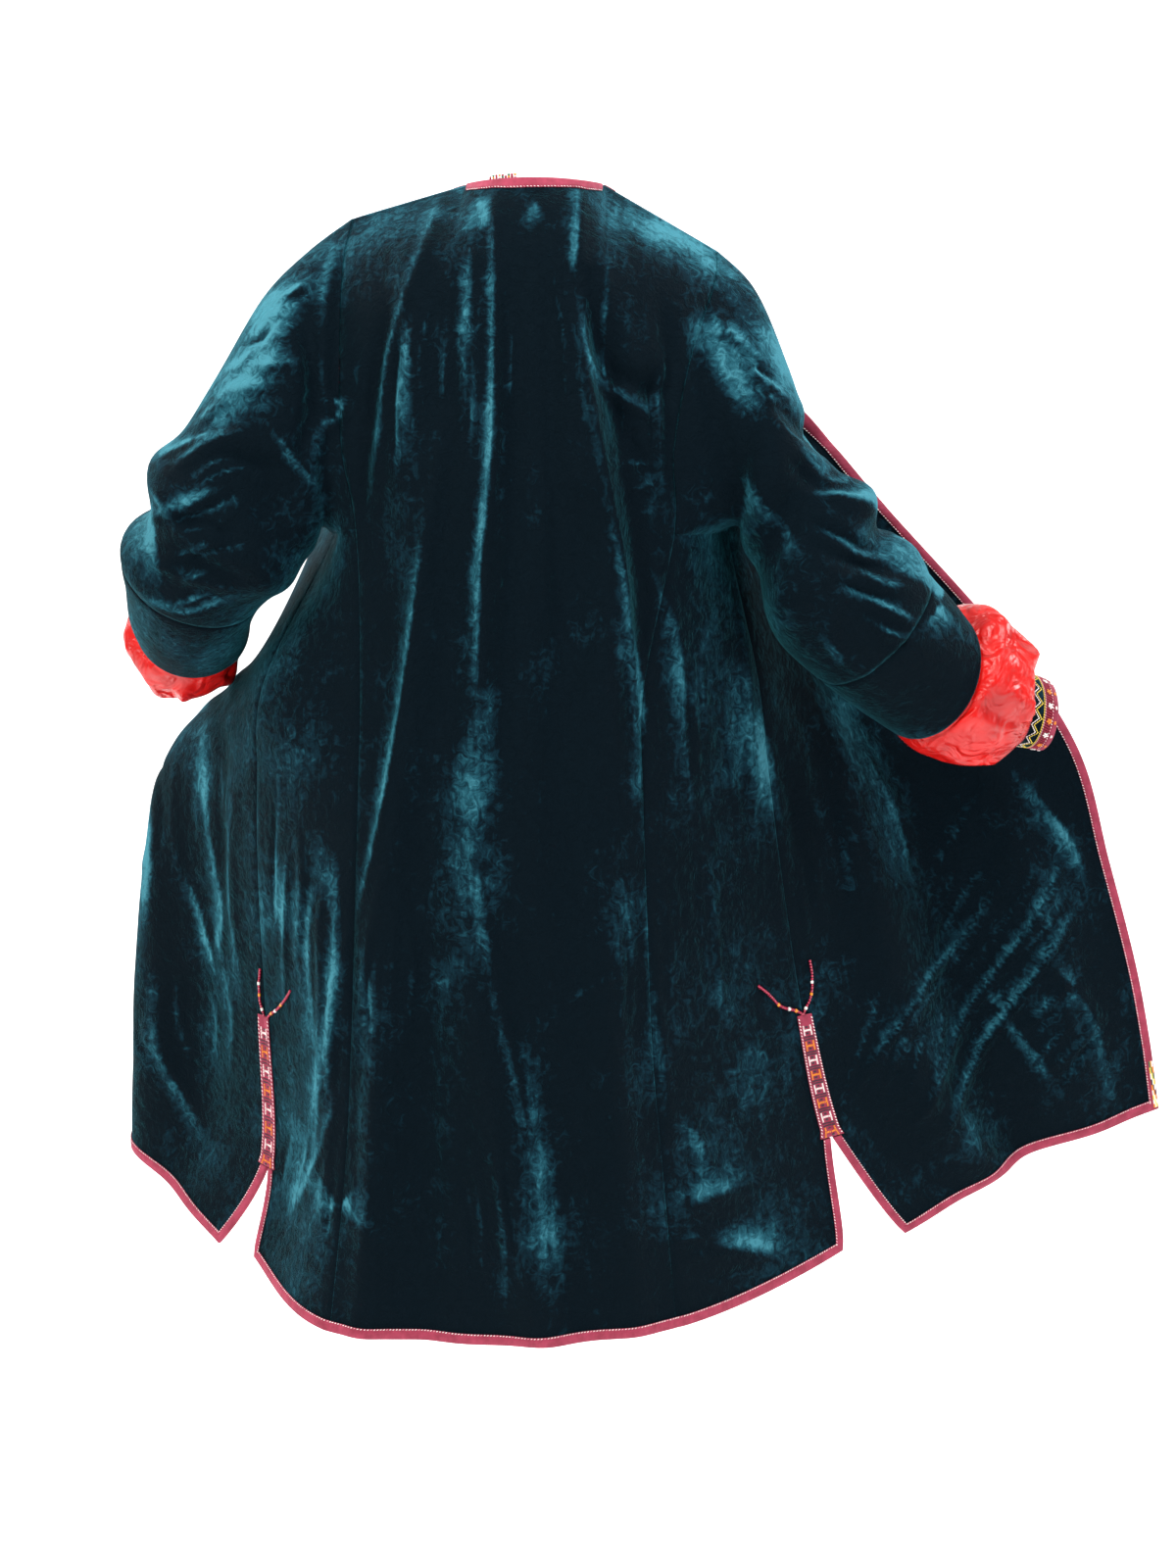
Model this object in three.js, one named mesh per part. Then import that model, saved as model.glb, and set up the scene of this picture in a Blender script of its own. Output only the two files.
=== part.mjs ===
// A chapan: a long, open, collarless coat of lined velvet, worn loose, with both fronts held open.
// Millimetres, +Z up. The coat faces -Y and its own left side is +X. The origin is the base of the neck,
// where the shoulders carry it.

import * as THREE from 'three';

// ---------------------------------------------------------------- driving sizes

const CLOTH = 2; // velvet and its lining together
const SATIN = 1.4; // the lining where it puffs out at the cuffs
const TAPE = 1; // binding tape
const TAPE_WIDTH = 8;
const TAB_THICKNESS = 1.4;
const SEAM_GAP = 0.3; // between neighbouring pieces
const NECK_HALF_WIDTH = 65;
const NECK_DEPTH = 65; // from the shoulder line back to the middle of the neckline
const NECK_SIDE = { out: NECK_HALF_WIDTH, back: -10, z: -5 };
const NECK_TAPE_SHARE = 0.046; // one tape width out along the shoulder line, in parts of the panel
const NECK_TRIM = 3; // the neck binding stops this short of the front bindings
const STRAND_WIDTH = 3.4; // beaded tassel strands
const HEAD_WIDTH = 7; // the knot they spring from

// Levels down the coat, along the middle of the back. x is across, back is behind the origin.
const LEVELS = [
  { name: 'neck', x: 0, back: 55, z: 0 },
  { name: 'yoke', x: 5, back: 98, z: -60 },
  { name: 'blades', x: 10, back: 124, z: -150 },
  { name: 'armhole', x: 14, back: 130, z: -240 },
  { name: 'underarm', x: 20, back: 132, z: -330 },
  { name: 'waist', x: 33, back: 135, z: -470 },
  { name: 'seat', x: 35, back: 142, z: -570 },
  { name: 'hip', x: 36, back: 150, z: -680 },
  { name: 'tab', x: 36, back: 155, z: -820 },
  { name: 'slit', x: 35, back: 158, z: -935 },
  { name: 'hem', x: 34, back: 160, z: -1096 },
];

// The lines of each half at those levels, each as [out from the middle, behind the origin, height].
// seam is the back panel's edge and side the side seam, which is the front of the armhole above the
// underarm. mid runs down the middle of the front and edge is its open edge.
const HALVES = {
  right: {
    sign: -1,
    slitSpread: [35, -25],
    lines: [
      { seam: [172, -5, -66], side: [172, -5, -66], mid: [118.5, -7.5, -35.5], edge: [65, -10, -5] },
      { seam: [168, 42, -95], side: [172, -34, -98], mid: [138, -74, -84], edge: [92, -86, -68] },
      { seam: [146, 74, -158], side: [172, -52, -158], mid: [170, -92, -154], edge: [160, -124, -148] },
      { seam: [130, 86, -245], side: [174, -52, -242], mid: [205, -98, -232], edge: [256, -120, -216] },
      { seam: [130, 84, -325], side: [184, -8, -330], mid: [238, -104, -322], edge: [348, -130, -318] },
      { seam: [102, 100, -470], side: [215, 0, -470], mid: [305, -122, -468], edge: [478, -142, -460] },
      { seam: [102, 108, -570], side: [228, 0, -570], mid: [370, -120, -570], edge: [556, -146, -572] },
      { seam: [106, 113, -680], side: [243, 0, -680], mid: [410, -100, -682], edge: [592, -144, -690] },
      { seam: [112, 119, -820], side: [266, 0, -820], mid: [442, -90, -808], edge: [624, -146, -800] },
      { seam: [122, 124, -933], side: [293, -2, -935], mid: [469, -90, -908], edge: [643, -148, -885] },
      { seam: [136, 133, -1090], side: [341, -5, -1055], mid: [497, -98, -1003], edge: [656, -150, -961] },
    ],
  },
  left: {
    sign: 1,
    slitSpread: [21, -20],
    lines: [
      { seam: [172, -5, -36], side: [172, -5, -36], mid: [118.5, -7.5, -20.5], edge: [65, -10, -5] },
      { seam: [178, 42, -78], side: [176, -32, -80], mid: [140, -74, -78], edge: [92, -88, -68] },
      { seam: [180, 72, -152], side: [176, -50, -152], mid: [158, -106, -152], edge: [130, -132, -150] },
      { seam: [179, 82, -243], side: [180, -50, -240], mid: [188, -112, -240], edge: [172, -168, -238] },
      { seam: [166, 84, -325], side: [192, 0, -330], mid: [214, -105, -330], edge: [212, -196, -330] },
      { seam: [164, 98, -470], side: [262, 28, -470], mid: [283, -116, -466], edge: [270, -226, -460] },
      { seam: [167, 108, -570], side: [272, 25, -570], mid: [374, -150, -566], edge: [300, -246, -560] },
      { seam: [171, 115, -680], side: [274, 20, -680], mid: [402, -150, -675], edge: [325, -262, -665] },
      { seam: [177, 120, -820], side: [272, 5, -820], mid: [418, -150, -805], edge: [342, -272, -790] },
      { seam: [184, 126, -935], side: [272, 0, -966], mid: [424, -150, -905], edge: [352, -278, -890] },
      { seam: [200, 143, -1090], side: [307, 0, -1062], mid: [426, -150, -1000], edge: [360, -280, -996] },
    ],
  },
};

const SHOULDER = 0;
const TAB_TOP = 8;
const SLIT_TOP = 9;
const BOUND_SLIT = 9.09; // where the slit's edges are far enough apart to be bound

// Rows of each panel as levels. The rows beside the neck and the hem lie one tape width from them.
const YOKE_ROWS = [0, 0.107, 0.5, 1, 1.5, 2, 2.5, 3, 3.5];
const SKIRT_ROWS = [4, 4.33, 4.67, 5, 5.5, 6, 6.5, 7, 7.5, 8, 8.33, 8.67, 9, BOUND_SLIT, 9.4, 9.7, 9.945, 10];
const BACK_CELLS = 16;
const NECK_CELLS = 3; // of the back panel's cells, on each side of the middle
const GORE_CELLS = 4;
const FRONT_CELLS = 9;

// Soft ridges (positive) and troughs (negative). at is the place across the panel at the fold's start,
// middle and end; from and to are levels; width is half the fold's breadth, in parts of the panel.
const BACK_FOLDS = [
  { from: 1.0, to: 8.2, at: [0.16, 0.15, 0.12], width: 0.13, depth: 7 },
  { from: 7.4, to: 10.6, at: [0.12, -0.08, -0.38], width: 0.16, depth: 10 },
  { from: 1.0, to: 4.2, at: [0.32, 0.33, 0.38], width: 0.1, depth: 5 },
  { from: 0.8, to: 4.4, at: [0.6, 0.62, 0.7], width: 0.11, depth: 6 },
  { from: 0.2, to: 6.4, at: [-0.22, -0.52, -0.98], width: 0.15, depth: 9 },
  { from: 1.2, to: 3.4, at: [-0.3, -0.52, -0.86], width: 0.1, depth: -8 },
  { from: 2.6, to: 7.8, at: [0.46, 0.62, 1.0], width: 0.12, depth: 9 },
  { from: 3.4, to: 7.2, at: [-0.4, -0.42, -0.5], width: 0.16, depth: -6 },
  { from: 5.6, to: 10.6, at: [0.52, 0.5, 0.42], width: 0.16, depth: -8 },
  { from: 6.2, to: 10.6, at: [-0.72, -0.74, -0.8], width: 0.15, depth: 8 },
  { from: 7.2, to: 10.6, at: [0.8, 0.82, 0.84], width: 0.12, depth: 10 },
];
const FRONT_FOLDS = {
  right: [
    { from: 4.6, to: 10.6, at: [0.74, 0.72, 0.66], width: 0.09, depth: 14 },
    { from: 5.0, to: 10.6, at: [0.5, 0.5, 0.46], width: 0.1, depth: -14 },
    { from: 5.2, to: 10.6, at: [0.3, 0.28, 0.24], width: 0.1, depth: 12 },
    { from: 7.6, to: 10.6, at: [0.92, 0.72, 0.48], width: 0.08, depth: 8 },
  ],
  left: [
    { from: 5.6, to: 10.6, at: [0.78, 0.76, 0.72], width: 0.1, depth: -16 },
    { from: 5.6, to: 10.6, at: [0.56, 0.56, 0.54], width: 0.1, depth: 12 },
    { from: 6.0, to: 10.6, at: [0.34, 0.34, 0.32], width: 0.1, depth: -14 },
  ],
};

// Rings of each sleeve after the armhole. outer and inner are the ends of the ring's long axis, as
// [out from the middle, behind the origin, height]; deep is half its other axis; lean is how far the
// ring's back lies towards the hand.
const SLEEVES = {
  right: {
    rings: [
      { outer: [208, -6, -112], inner: [190, 26, -318], deep: 66, lean: 0 },
      { outer: [240, 0, -180], inner: [196, 32, -334], deep: 68, lean: 0 },
      { outer: [264, 8, -250], inner: [204, 38, -354], deep: 68, lean: 0 },
      { outer: [300, 15, -290], inner: [214, 42, -388], deep: 66, lean: 0 },
      { outer: [332, 20, -322], inner: [236, 38, -434], deep: 64, lean: 0 },
      { outer: [372, 14, -367], inner: [276, 20, -472], deep: 61, lean: 8 },
      { outer: [396, 4, -392], inner: [312, 2, -501], deep: 58, lean: 16 },
      { outer: [416, -8, -416], inner: [346, -14, -525], deep: 56, lean: 24 },
    ],
    satin: [
      { outer: [444, -16, -408], inner: [364, -22, -542], deep: 60, lean: 14 },
      { outer: [465, -26, -430], inner: [406, -34, -556], deep: 58, lean: 8 },
      { outer: [477, -34, -447], inner: [443, -44, -556], deep: 50, lean: 4 },
    ],
    band: [
      { outer: [470, -36, -469], inner: [459, -46, -544], deep: 37, lean: 0 },
      { outer: [508, -48, -487], inner: [498, -58, -552], deep: 33, lean: 0 },
    ],
  },
  left: {
    rings: [
      { outer: [216, 4, -74], inner: [200, 28, -320], deep: 66, lean: 0 },
      { outer: [256, 16, -110], inner: [206, 32, -332], deep: 70, lean: 0 },
      { outer: [296, 26, -176], inner: [212, 36, -348], deep: 72, lean: 0 },
      { outer: [330, 32, -232], inner: [228, 38, -368], deep: 72, lean: 0 },
      { outer: [362, 28, -286], inner: [248, 32, -384], deep: 70, lean: 0 },
      { outer: [386, 10, -340], inner: [268, 10, -402], deep: 66, lean: 0 },
      { outer: [396, -24, -386], inner: [282, -26, -424], deep: 62, lean: 0 },
      { outer: [397, -62, -414], inner: [290, -66, -446], deep: 56, lean: 0 },
    ],
    satin: [
      { outer: [409, -80, -424], inner: [300, -88, -456], deep: 62, lean: 0 },
      { outer: [404, -104, -440], inner: [304, -110, -468], deep: 60, lean: 0 },
      { outer: [394, -122, -452], inner: [310, -126, -474], deep: 48, lean: 0 },
    ],
    band: [
      { outer: [382, -124, -448], inner: [316, -128, -468], deep: 36, lean: 0 },
      { outer: [376, -158, -464], inner: [318, -162, -480], deep: 32, lean: 0 },
    ],
  },
};
const OWN_SHAPE_STEP = 3; // from here on a sleeve has its own shape, above it it eases from the armhole
const SLEEVE_STEPS = [1, 1.5, 2, 2.5, 3, 3.5, 4, 4.5, 5, 5.5, 6, 6.5, 7, 7.5, 7.8, 8];
const PIECING_STEP = 6; // the seam across the forearm
const BAND_STEPS = [0, 0.3, 0.65, 1]; // the last is as wide as the crimson tape round the wrist
const SATIN_CLEAR = 4; // how far past the velvet's edge the satin starts to puff out

// Creases round the sleeves: ring is the place along and turn the place round (0 above, 0.25 behind,
// 0.5 below, 0.75 in front); along and around are their half sizes in the same measures.
const SLEEVE_CREASES = {
  right: [
    { ring: 4.2, turn: 0.0, along: 0.5, around: 0.16, depth: 10 },
    { ring: 4.9, turn: 0.04, along: 0.34, around: 0.14, depth: -9 },
    { ring: 5.5, turn: 0.98, along: 0.4, around: 0.16, depth: 6 },
    { ring: 3.1, turn: 0.3, along: 0.6, around: 0.1, depth: -9 },
    { ring: 4.4, turn: 0.36, along: 0.5, around: 0.09, depth: 8 },
    { ring: 2.0, turn: 0.26, along: 1.0, around: 0.08, depth: 7 },
    { ring: 3.6, turn: 0.6, along: 0.6, around: 0.12, depth: -8 },
  ],
  left: [
    { ring: 4.6, turn: 0.02, along: 0.4, around: 0.16, depth: 9 },
    { ring: 5.2, turn: 0.0, along: 0.34, around: 0.16, depth: -8 },
    { ring: 5.8, turn: 0.04, along: 0.4, around: 0.16, depth: 7 },
    { ring: 2.2, turn: 0.2, along: 1.2, around: 0.08, depth: 8 },
    { ring: 3.2, turn: 0.3, along: 0.8, around: 0.09, depth: -9 },
    { ring: 4.4, turn: 0.38, along: 0.6, around: 0.1, depth: 8 },
    { ring: 3.4, turn: 0.62, along: 0.8, around: 0.12, depth: -7 },
  ],
};

// The tassel over the side tab, as [rows below the tab's top, columns before the side seam]: the middle
// of its head, and the two strands of its Y.
const TASSEL = {
  head: [-0.07, -0.75],
  upright: [[-0.12, -0.5], [-0.3, -0.3], [-0.55, -0.34], [-0.8, -0.3]],
  slanting: [[-0.12, -1.05], [-0.2, -1.4], [-0.36, -1.75], [-0.52, -2.15]],
};

// ---------------------------------------------------------------- materials

function cloth(color, roughness) {
  return new THREE.MeshStandardMaterial({ color, roughness, metalness: 0, side: THREE.DoubleSide });
}

const velvet = cloth(0x1b4148, 0.9);
const satin = cloth(0xe02a30, 0.4);
const tape = cloth(0xb03a55, 0.7);
const embroidery = cloth(0xc9763a, 0.8);
const beads = cloth(0xa8324c, 0.5);

// ---------------------------------------------------------------- curves and grids

function place(half, [out, back, z]) {
  return new THREE.Vector3(half.sign * out, back, z);
}

// A smooth curve through points, one unit of at for each step between them.
function through(points, at) {
  const last = points.length - 1;
  const i = Math.min(Math.max(Math.floor(at), 0), last - 1);
  const before = points[Math.max(i - 1, 0)];
  const after = points[Math.min(i + 2, last)];
  const curve = (axis) => {
    const start = (points[i + 1][axis] - before[axis]) / 2;
    const end = (after[axis] - points[i][axis]) / 2;
    const f = at - i;
    const ease = f * f * (3 - 2 * f);
    const leave = f * (1 - f) * (1 - f) * start;
    const arrive = f * f * (1 - f) * end;
    return points[i][axis] + (points[i + 1][axis] - points[i][axis]) * ease + leave - arrive;
  };
  return new THREE.Vector3(curve('x'), curve('y'), curve('z'));
}

function downTheLevels(sectionPoint, level) {
  return through(LEVELS.map((_, index) => sectionPoint(index)), level);
}

function halfOf(across) {
  return across < 0 ? HALVES.right : HALVES.left;
}

// The top of the back panel: half an ellipse round the neck, then straight out along the shoulder.
function necklinePoint(across) {
  const half = halfOf(across);
  const shoulder = place(half, half.lines[SHOULDER].seam);
  const neckShare = NECK_HALF_WIDTH / Math.abs(shoulder.x);
  const side = place(half, [NECK_SIDE.out, NECK_SIDE.back, NECK_SIDE.z]);
  const share = Math.abs(across);
  if (share > neckShare) {
    return side.lerp(shoulder, (share - neckShare) / (1 - neckShare));
  }
  const turn = share / neckShare;
  side.x *= turn;
  side.y += NECK_DEPTH * Math.sqrt(1 - turn * turn);
  side.z *= turn * turn;
  return side;
}

// The back panel, -1 at its right edge to 1 at its left: an arch from seam to seam.
function backPoint(across, level) {
  return downTheLevels((index) => {
    if (index === SHOULDER) {
      return necklinePoint(across);
    }
    const half = halfOf(across);
    const seam = place(half, half.lines[index].seam);
    const { x, back, z } = LEVELS[index];
    const arch = across * across;
    return new THREE.Vector3(
      THREE.MathUtils.lerp(x, seam.x, Math.abs(across)),
      THREE.MathUtils.lerp(back, seam.y, arch),
      THREE.MathUtils.lerp(z, seam.z, arch),
    );
  }, level);
}

// One curve from the middle of the back round to the front's edge: 1 at the seam, 2 at the side and
// 4 at the edge.
function roundTheHalf(half, at, level) {
  return downTheLevels((index) => {
    const { x, back, z } = LEVELS[index];
    const line = half.lines[index];
    const points = [line.seam, line.side, line.mid, line.edge].map((point) => place(half, point));
    return through([new THREE.Vector3(x, back, z), ...points], at);
  }, level);
}

// Below its top the slit spreads: the front's edge goes one way and the gore's the other.
function spreadSlit(half, point, level, share, way) {
  const open = Math.max(0, level - SLIT_TOP) * share * share * way;
  const [out, back] = half.slitSpread;
  point.x += half.sign * out * open;
  point.y += back * open;
  return point;
}

// The gore, 0 at the back panel to 1 at the side seam.
function gorePoint(half, across, level) {
  return spreadSlit(half, roundTheHalf(half, 1 + across, level), level, across, -1);
}

// The front, 0 at its open edge to 1 at the side seam.
function frontPoint(half, across, level) {
  return spreadSlit(half, roundTheHalf(half, 4 - 2 * across, level), level, across, 1);
}

function foldHeight(folds, across, level) {
  let height = 0;
  for (const fold of folds) {
    const along = (level - fold.from) / (fold.to - fold.from);
    if (along <= 0 || along >= 1) {
      continue;
    }
    const [start, middle, end] = fold.at;
    const ahead = 1 - along;
    const centre = start * ahead * (1 - 2 * along) + 4 * middle * along * ahead + end * along * (2 * along - 1);
    const off = (across - centre) / fold.width;
    height += fold.depth * Math.sin(Math.PI * along) ** 0.6 * Math.exp(-off * off);
  }
  return height;
}

// A grid of points with a normal at each. facing is 1 where across x down points out of the coat.
// A round grid closes on itself.
function makeGrid(points, facing, round = false) {
  const grid = { points, facing, round };
  grid.normals = gridNormals(grid);
  return grid;
}

function gridNormals({ points, facing, round }) {
  const rows = points.length;
  const columns = points[0].length;
  return points.map((row, r) => row.map((_, c) => {
    const left = round ? (c + columns - 1) % columns : Math.max(c - 1, 0);
    const right = round ? (c + 1) % columns : Math.min(c + 1, columns - 1);
    const across = row[right].clone().sub(row[left]);
    const down = points[Math.min(r + 1, rows - 1)][c].clone().sub(points[Math.max(r - 1, 0)][c]);
    return across.cross(down).multiplyScalar(facing).normalize();
  }));
}

function raise(grid, height) {
  const points = grid.points.map((row, r) => row.map((point, c) => (
    point.clone().addScaledVector(grid.normals[r][c], height(r, c))
  )));
  return makeGrid(points, grid.facing, grid.round);
}

// Places across a panel in equal steps, but for one tape width in from a bound edge at 0 and, where
// the side seam opens into a slit, one tape width in from 1.
function panelColumns(cells, width, boundAtStart) {
  const margin = TAPE_WIDTH / width;
  const start = boundAtStart ? margin : 0;
  const places = boundAtStart ? [0] : [];
  for (let i = 0; i <= cells; i += 1) {
    places.push(start + (1 - margin - start) * (i / cells));
  }
  return [...places, 1];
}

function widthAt(pointAt, level) {
  const steps = 8; // enough to follow the panel's curve
  let width = 0;
  for (let i = 0; i < steps; i += 1) {
    width += pointAt(i / steps, level).distanceTo(pointAt((i + 1) / steps, level));
  }
  return width;
}

// The second row of the back panel: one tape width from the neckline all the way round it.
function besideNeck(across, level) {
  const neckShare = NECK_HALF_WIDTH / HALVES.left.lines[SHOULDER].seam[0];
  const turn = Math.abs(across) / neckShare;
  if (turn > 1.001) {
    return backPoint(across, level);
  }
  const down = level * Math.sqrt(Math.max(0.04, 1 - turn * turn));
  return backPoint(across + Math.sign(across) * NECK_TAPE_SHARE * turn * turn, down);
}

function backGrid() {
  const rows = [...YOKE_ROWS, ...SKIRT_ROWS];
  const columns = [];
  const half = BACK_CELLS / 2;
  for (let i = -half; i <= half; i += 1) {
    const share = Math.abs(i);
    const neckShare = NECK_HALF_WIDTH / HALVES.left.lines[SHOULDER].seam[0];
    const out = share <= NECK_CELLS
      ? neckShare * (share / NECK_CELLS)
      : neckShare + (1 - neckShare) * ((share - NECK_CELLS) / (half - NECK_CELLS));
    columns.push(Math.sign(i) * out);
  }
  const flat = makeGrid(rows.map((level, r) => columns.map((across) => (
    r === 1 ? besideNeck(across, level) : backPoint(across, level)
  ))), 1);
  return raise(flat, (r, c) => {
    const fade = 1 - Math.abs(columns[c]) ** 8;
    return foldHeight(BACK_FOLDS, columns[c], rows[r]) * fade;
  });
}

function goreGrid(half) {
  const pointAt = (across, level) => gorePoint(half, across, level);
  const points = SKIRT_ROWS.map((level) => (
    panelColumns(GORE_CELLS, widthAt(pointAt, level), false).map((across) => pointAt(across, level))
  ));
  return makeGrid(points, half.sign);
}

function frontGrid(half, folds) {
  const rows = [...YOKE_ROWS, ...SKIRT_ROWS];
  const pointAt = (across, level) => frontPoint(half, across, level);
  const columns = rows.map((level) => panelColumns(FRONT_CELLS, widthAt(pointAt, level), true));
  const points = rows.map((level, r) => columns[r].map((across) => pointAt(across, level)));
  const flat = makeGrid(points, -half.sign);
  return raise(flat, (r, c) => {
    const across = columns[r][c];
    return foldHeight(folds, across, rows[r]) * (1 - across ** 8) * (1 - (1 - across) ** 12);
  });
}

// ---------------------------------------------------------------- sleeves

// The ring of points where the sleeve is sewn in: down the back panel, along the gore, up the front.
function armholeLoop(half, back, gore, front) {
  const rows = YOKE_ROWS.length;
  const backColumn = half.sign > 0 ? back.points[0].length - 1 : 0;
  const frontColumn = front.points[0].length - 1;
  const down = back.points.slice(0, rows).map((row) => row[backColumn]);
  const under = gore.points[0];
  const up = front.points.slice(1, rows).map((row) => row[frontColumn]).reverse();
  return [...down, ...under, ...up];
}

// How far round each point of the loop lies, 0 at the shoulder and 0.5 in the middle of the gore.
function loopTurns(loop) {
  const lengths = [0];
  for (let i = 0; i < loop.length; i += 1) {
    lengths.push(lengths[i] + loop[i].distanceTo(loop[(i + 1) % loop.length]));
  }
  const whole = lengths[loop.length];
  return loop.map((_, i) => lengths[i] / whole);
}

function ringAt(half, rings, step) {
  const outer = rings.map((ring) => place(half, ring.outer));
  const inner = rings.map((ring) => place(half, ring.inner));
  const sizes = rings.map((ring) => new THREE.Vector3(ring.deep, ring.lean, 0));
  const middle = (at) => through(outer, at).add(through(inner, at)).multiplyScalar(0.5);
  const nudge = 0.1;
  const last = rings.length - 1;
  const onward = middle(Math.min(step + nudge, last)).sub(middle(Math.max(step - nudge, 0))).normalize();
  const centre = middle(step);
  const long = through(outer, step).sub(centre);
  const size = through(sizes, step);
  const deep = onward.clone().cross(long).normalize().multiplyScalar(-half.sign * size.x);
  return { centre, long, deep, onward, lean: size.y };
}

function ringPoint(ring, turn) {
  const angle = turn * 2 * Math.PI;
  return ring.centre.clone()
    .addScaledVector(ring.long, Math.cos(angle))
    .addScaledVector(ring.deep, Math.sin(angle))
    .addScaledVector(ring.onward, ring.lean * Math.sin(angle));
}

function creaseHeight(creases, step, turn) {
  let height = 0;
  for (const crease of creases) {
    const along = (step - crease.ring) / crease.along;
    const gap = Math.abs(turn - crease.turn);
    const around = Math.min(gap, 1 - gap) / crease.around;
    height += crease.depth * Math.exp(-along * along - around * around);
  }
  return height;
}

function tubeGrid(half, rings, steps, turns, creases) {
  const points = steps.map((step) => {
    const ring = ringAt(half, rings, step);
    return turns.map((turn) => ringPoint(ring, turn));
  });
  const smooth = makeGrid(points, -half.sign, true);
  return raise(smooth, (r, c) => creaseHeight(creases, steps[r], turns[c]));
}

// The whole sleeve: its rings ease from the armhole's shape to their own over the first few.
function sleeveGrid(half, rings, loop, turns, creases) {
  const numbered = [rings[0], ...rings];
  const own = tubeGrid(half, numbered, SLEEVE_STEPS, turns, creases);
  const loopCentre = loop.reduce((sum, point) => sum.add(point), new THREE.Vector3()).divideScalar(loop.length);
  const points = own.points.map((row, r) => {
    const step = SLEEVE_STEPS[r];
    const keep = Math.max(0, 1 - step / OWN_SHAPE_STEP) ** 2 / 2;
    const shift = ringAt(half, numbered, step).centre.sub(loopCentre);
    return row.map((point, c) => point.clone().lerp(loop[c].clone().add(shift), keep));
  });
  return makeGrid([loop.map((point) => point.clone()), ...points], -half.sign, true);
}

function partOf(grid, from, to) {
  return { ...grid, points: grid.points.slice(from, to), normals: grid.normals.slice(from, to) };
}

function slideRing(grid, row, away) {
  return grid.points[row].map((point, c) => point.clone().addScaledVector(grid.normals[row][c], away));
}

// ---------------------------------------------------------------- sewing the grids together

// Where pieces share points their normals are made one, so that their edges stay parallel.
function shareNormals(grids) {
  const sums = new Map();
  const key = (point) => point.toArray().map((value) => Math.round(value * 20)).join(' ');
  const each = (visit) => grids.forEach((grid) => grid.points.forEach((row, r) => row.forEach((point, c) => {
    visit(key(point), grid.normals[r][c]);
  })));
  each((name, normal) => {
    if (!sums.has(name)) {
      sums.set(name, new THREE.Vector3());
    }
    sums.get(name).add(normal);
  });
  each((name, normal) => normal.copy(sums.get(name)).normalize());
}

// Along the shoulder line the back and the front turn over one ridge, so both take its normal.
function shareShoulder(half, back, front) {
  const shoulderCells = BACK_CELLS / 2 - NECK_CELLS;
  const start = half.sign > 0 ? BACK_CELLS - shoulderCells : 0;
  const normals = [...back.normals[0].slice(start, start + shoulderCells + 1), ...front.normals[0]];
  const ridge = normals.reduce((sum, normal) => sum.add(normal), new THREE.Vector3());
  const line = front.points[0][0].clone().sub(front.points[0].at(-1)).normalize();
  ridge.addScaledVector(line, -ridge.dot(line)).normalize();
  normals.forEach((normal) => normal.copy(ridge));
}

// Draws a seam's edge back into its own piece by half the seam gap.
function pullBack(grid, edges) {
  const rows = grid.points.length;
  const columns = grid.points[0].length;
  const points = grid.points.map((row) => row.map((point) => point.clone()));
  const pull = (r, c, fromRow, fromColumn) => {
    const inward = grid.points[fromRow][fromColumn].clone().sub(grid.points[r][c]).normalize();
    points[r][c].addScaledVector(inward, SEAM_GAP / 2);
  };
  for (const { side, from = 0, to = Infinity } of edges) {
    if (side === 'top' || side === 'bottom') {
      const r = side === 'top' ? 0 : rows - 1;
      for (let c = from; c <= Math.min(to, columns - 1); c += 1) {
        pull(r, c, side === 'top' ? 1 : rows - 2, c);
      }
    } else {
      const c = side === 'start' ? 0 : columns - 1;
      for (let r = from; r <= Math.min(to, rows - 1); r += 1) {
        pull(r, c, r, side === 'start' ? 1 : columns - 2);
      }
    }
  }
  return { ...grid, points };
}

// ---------------------------------------------------------------- solids

// Collects triangles, welding equal points and leaving out any triangle with no area.
class Solid {
  constructor() {
    this.positions = [];
    this.indices = [];
    this.known = new Map();
  }

  vertex(point) {
    const name = point.toArray().map((value) => value.toFixed(4)).join(' ');
    if (!this.known.has(name)) {
      this.known.set(name, this.positions.length / 3);
      this.positions.push(point.x, point.y, point.z);
    }
    return this.known.get(name);
  }

  triangle(a, b, c) {
    const corners = [this.vertex(a), this.vertex(b), this.vertex(c)];
    if (new Set(corners).size === 3) {
      this.indices.push(...corners);
    }
  }

  // Split along the shorter diagonal, so that walls laid on each other bend alike.
  quad(a, b, c, d) {
    if (a.distanceTo(c) <= b.distanceTo(d)) {
      this.triangle(a, b, c);
      this.triangle(a, c, d);
    } else {
      this.triangle(a, b, d);
      this.triangle(b, c, d);
    }
  }

  mesh(name, material) {
    const geometry = new THREE.BufferGeometry();
    geometry.setAttribute('position', new THREE.Float32BufferAttribute(this.positions, 3));
    geometry.setIndex(this.indices);
    geometry.computeVertexNormals();
    const mesh = new THREE.Mesh(geometry, material);
    mesh.name = name;
    return mesh;
  }
}

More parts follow.
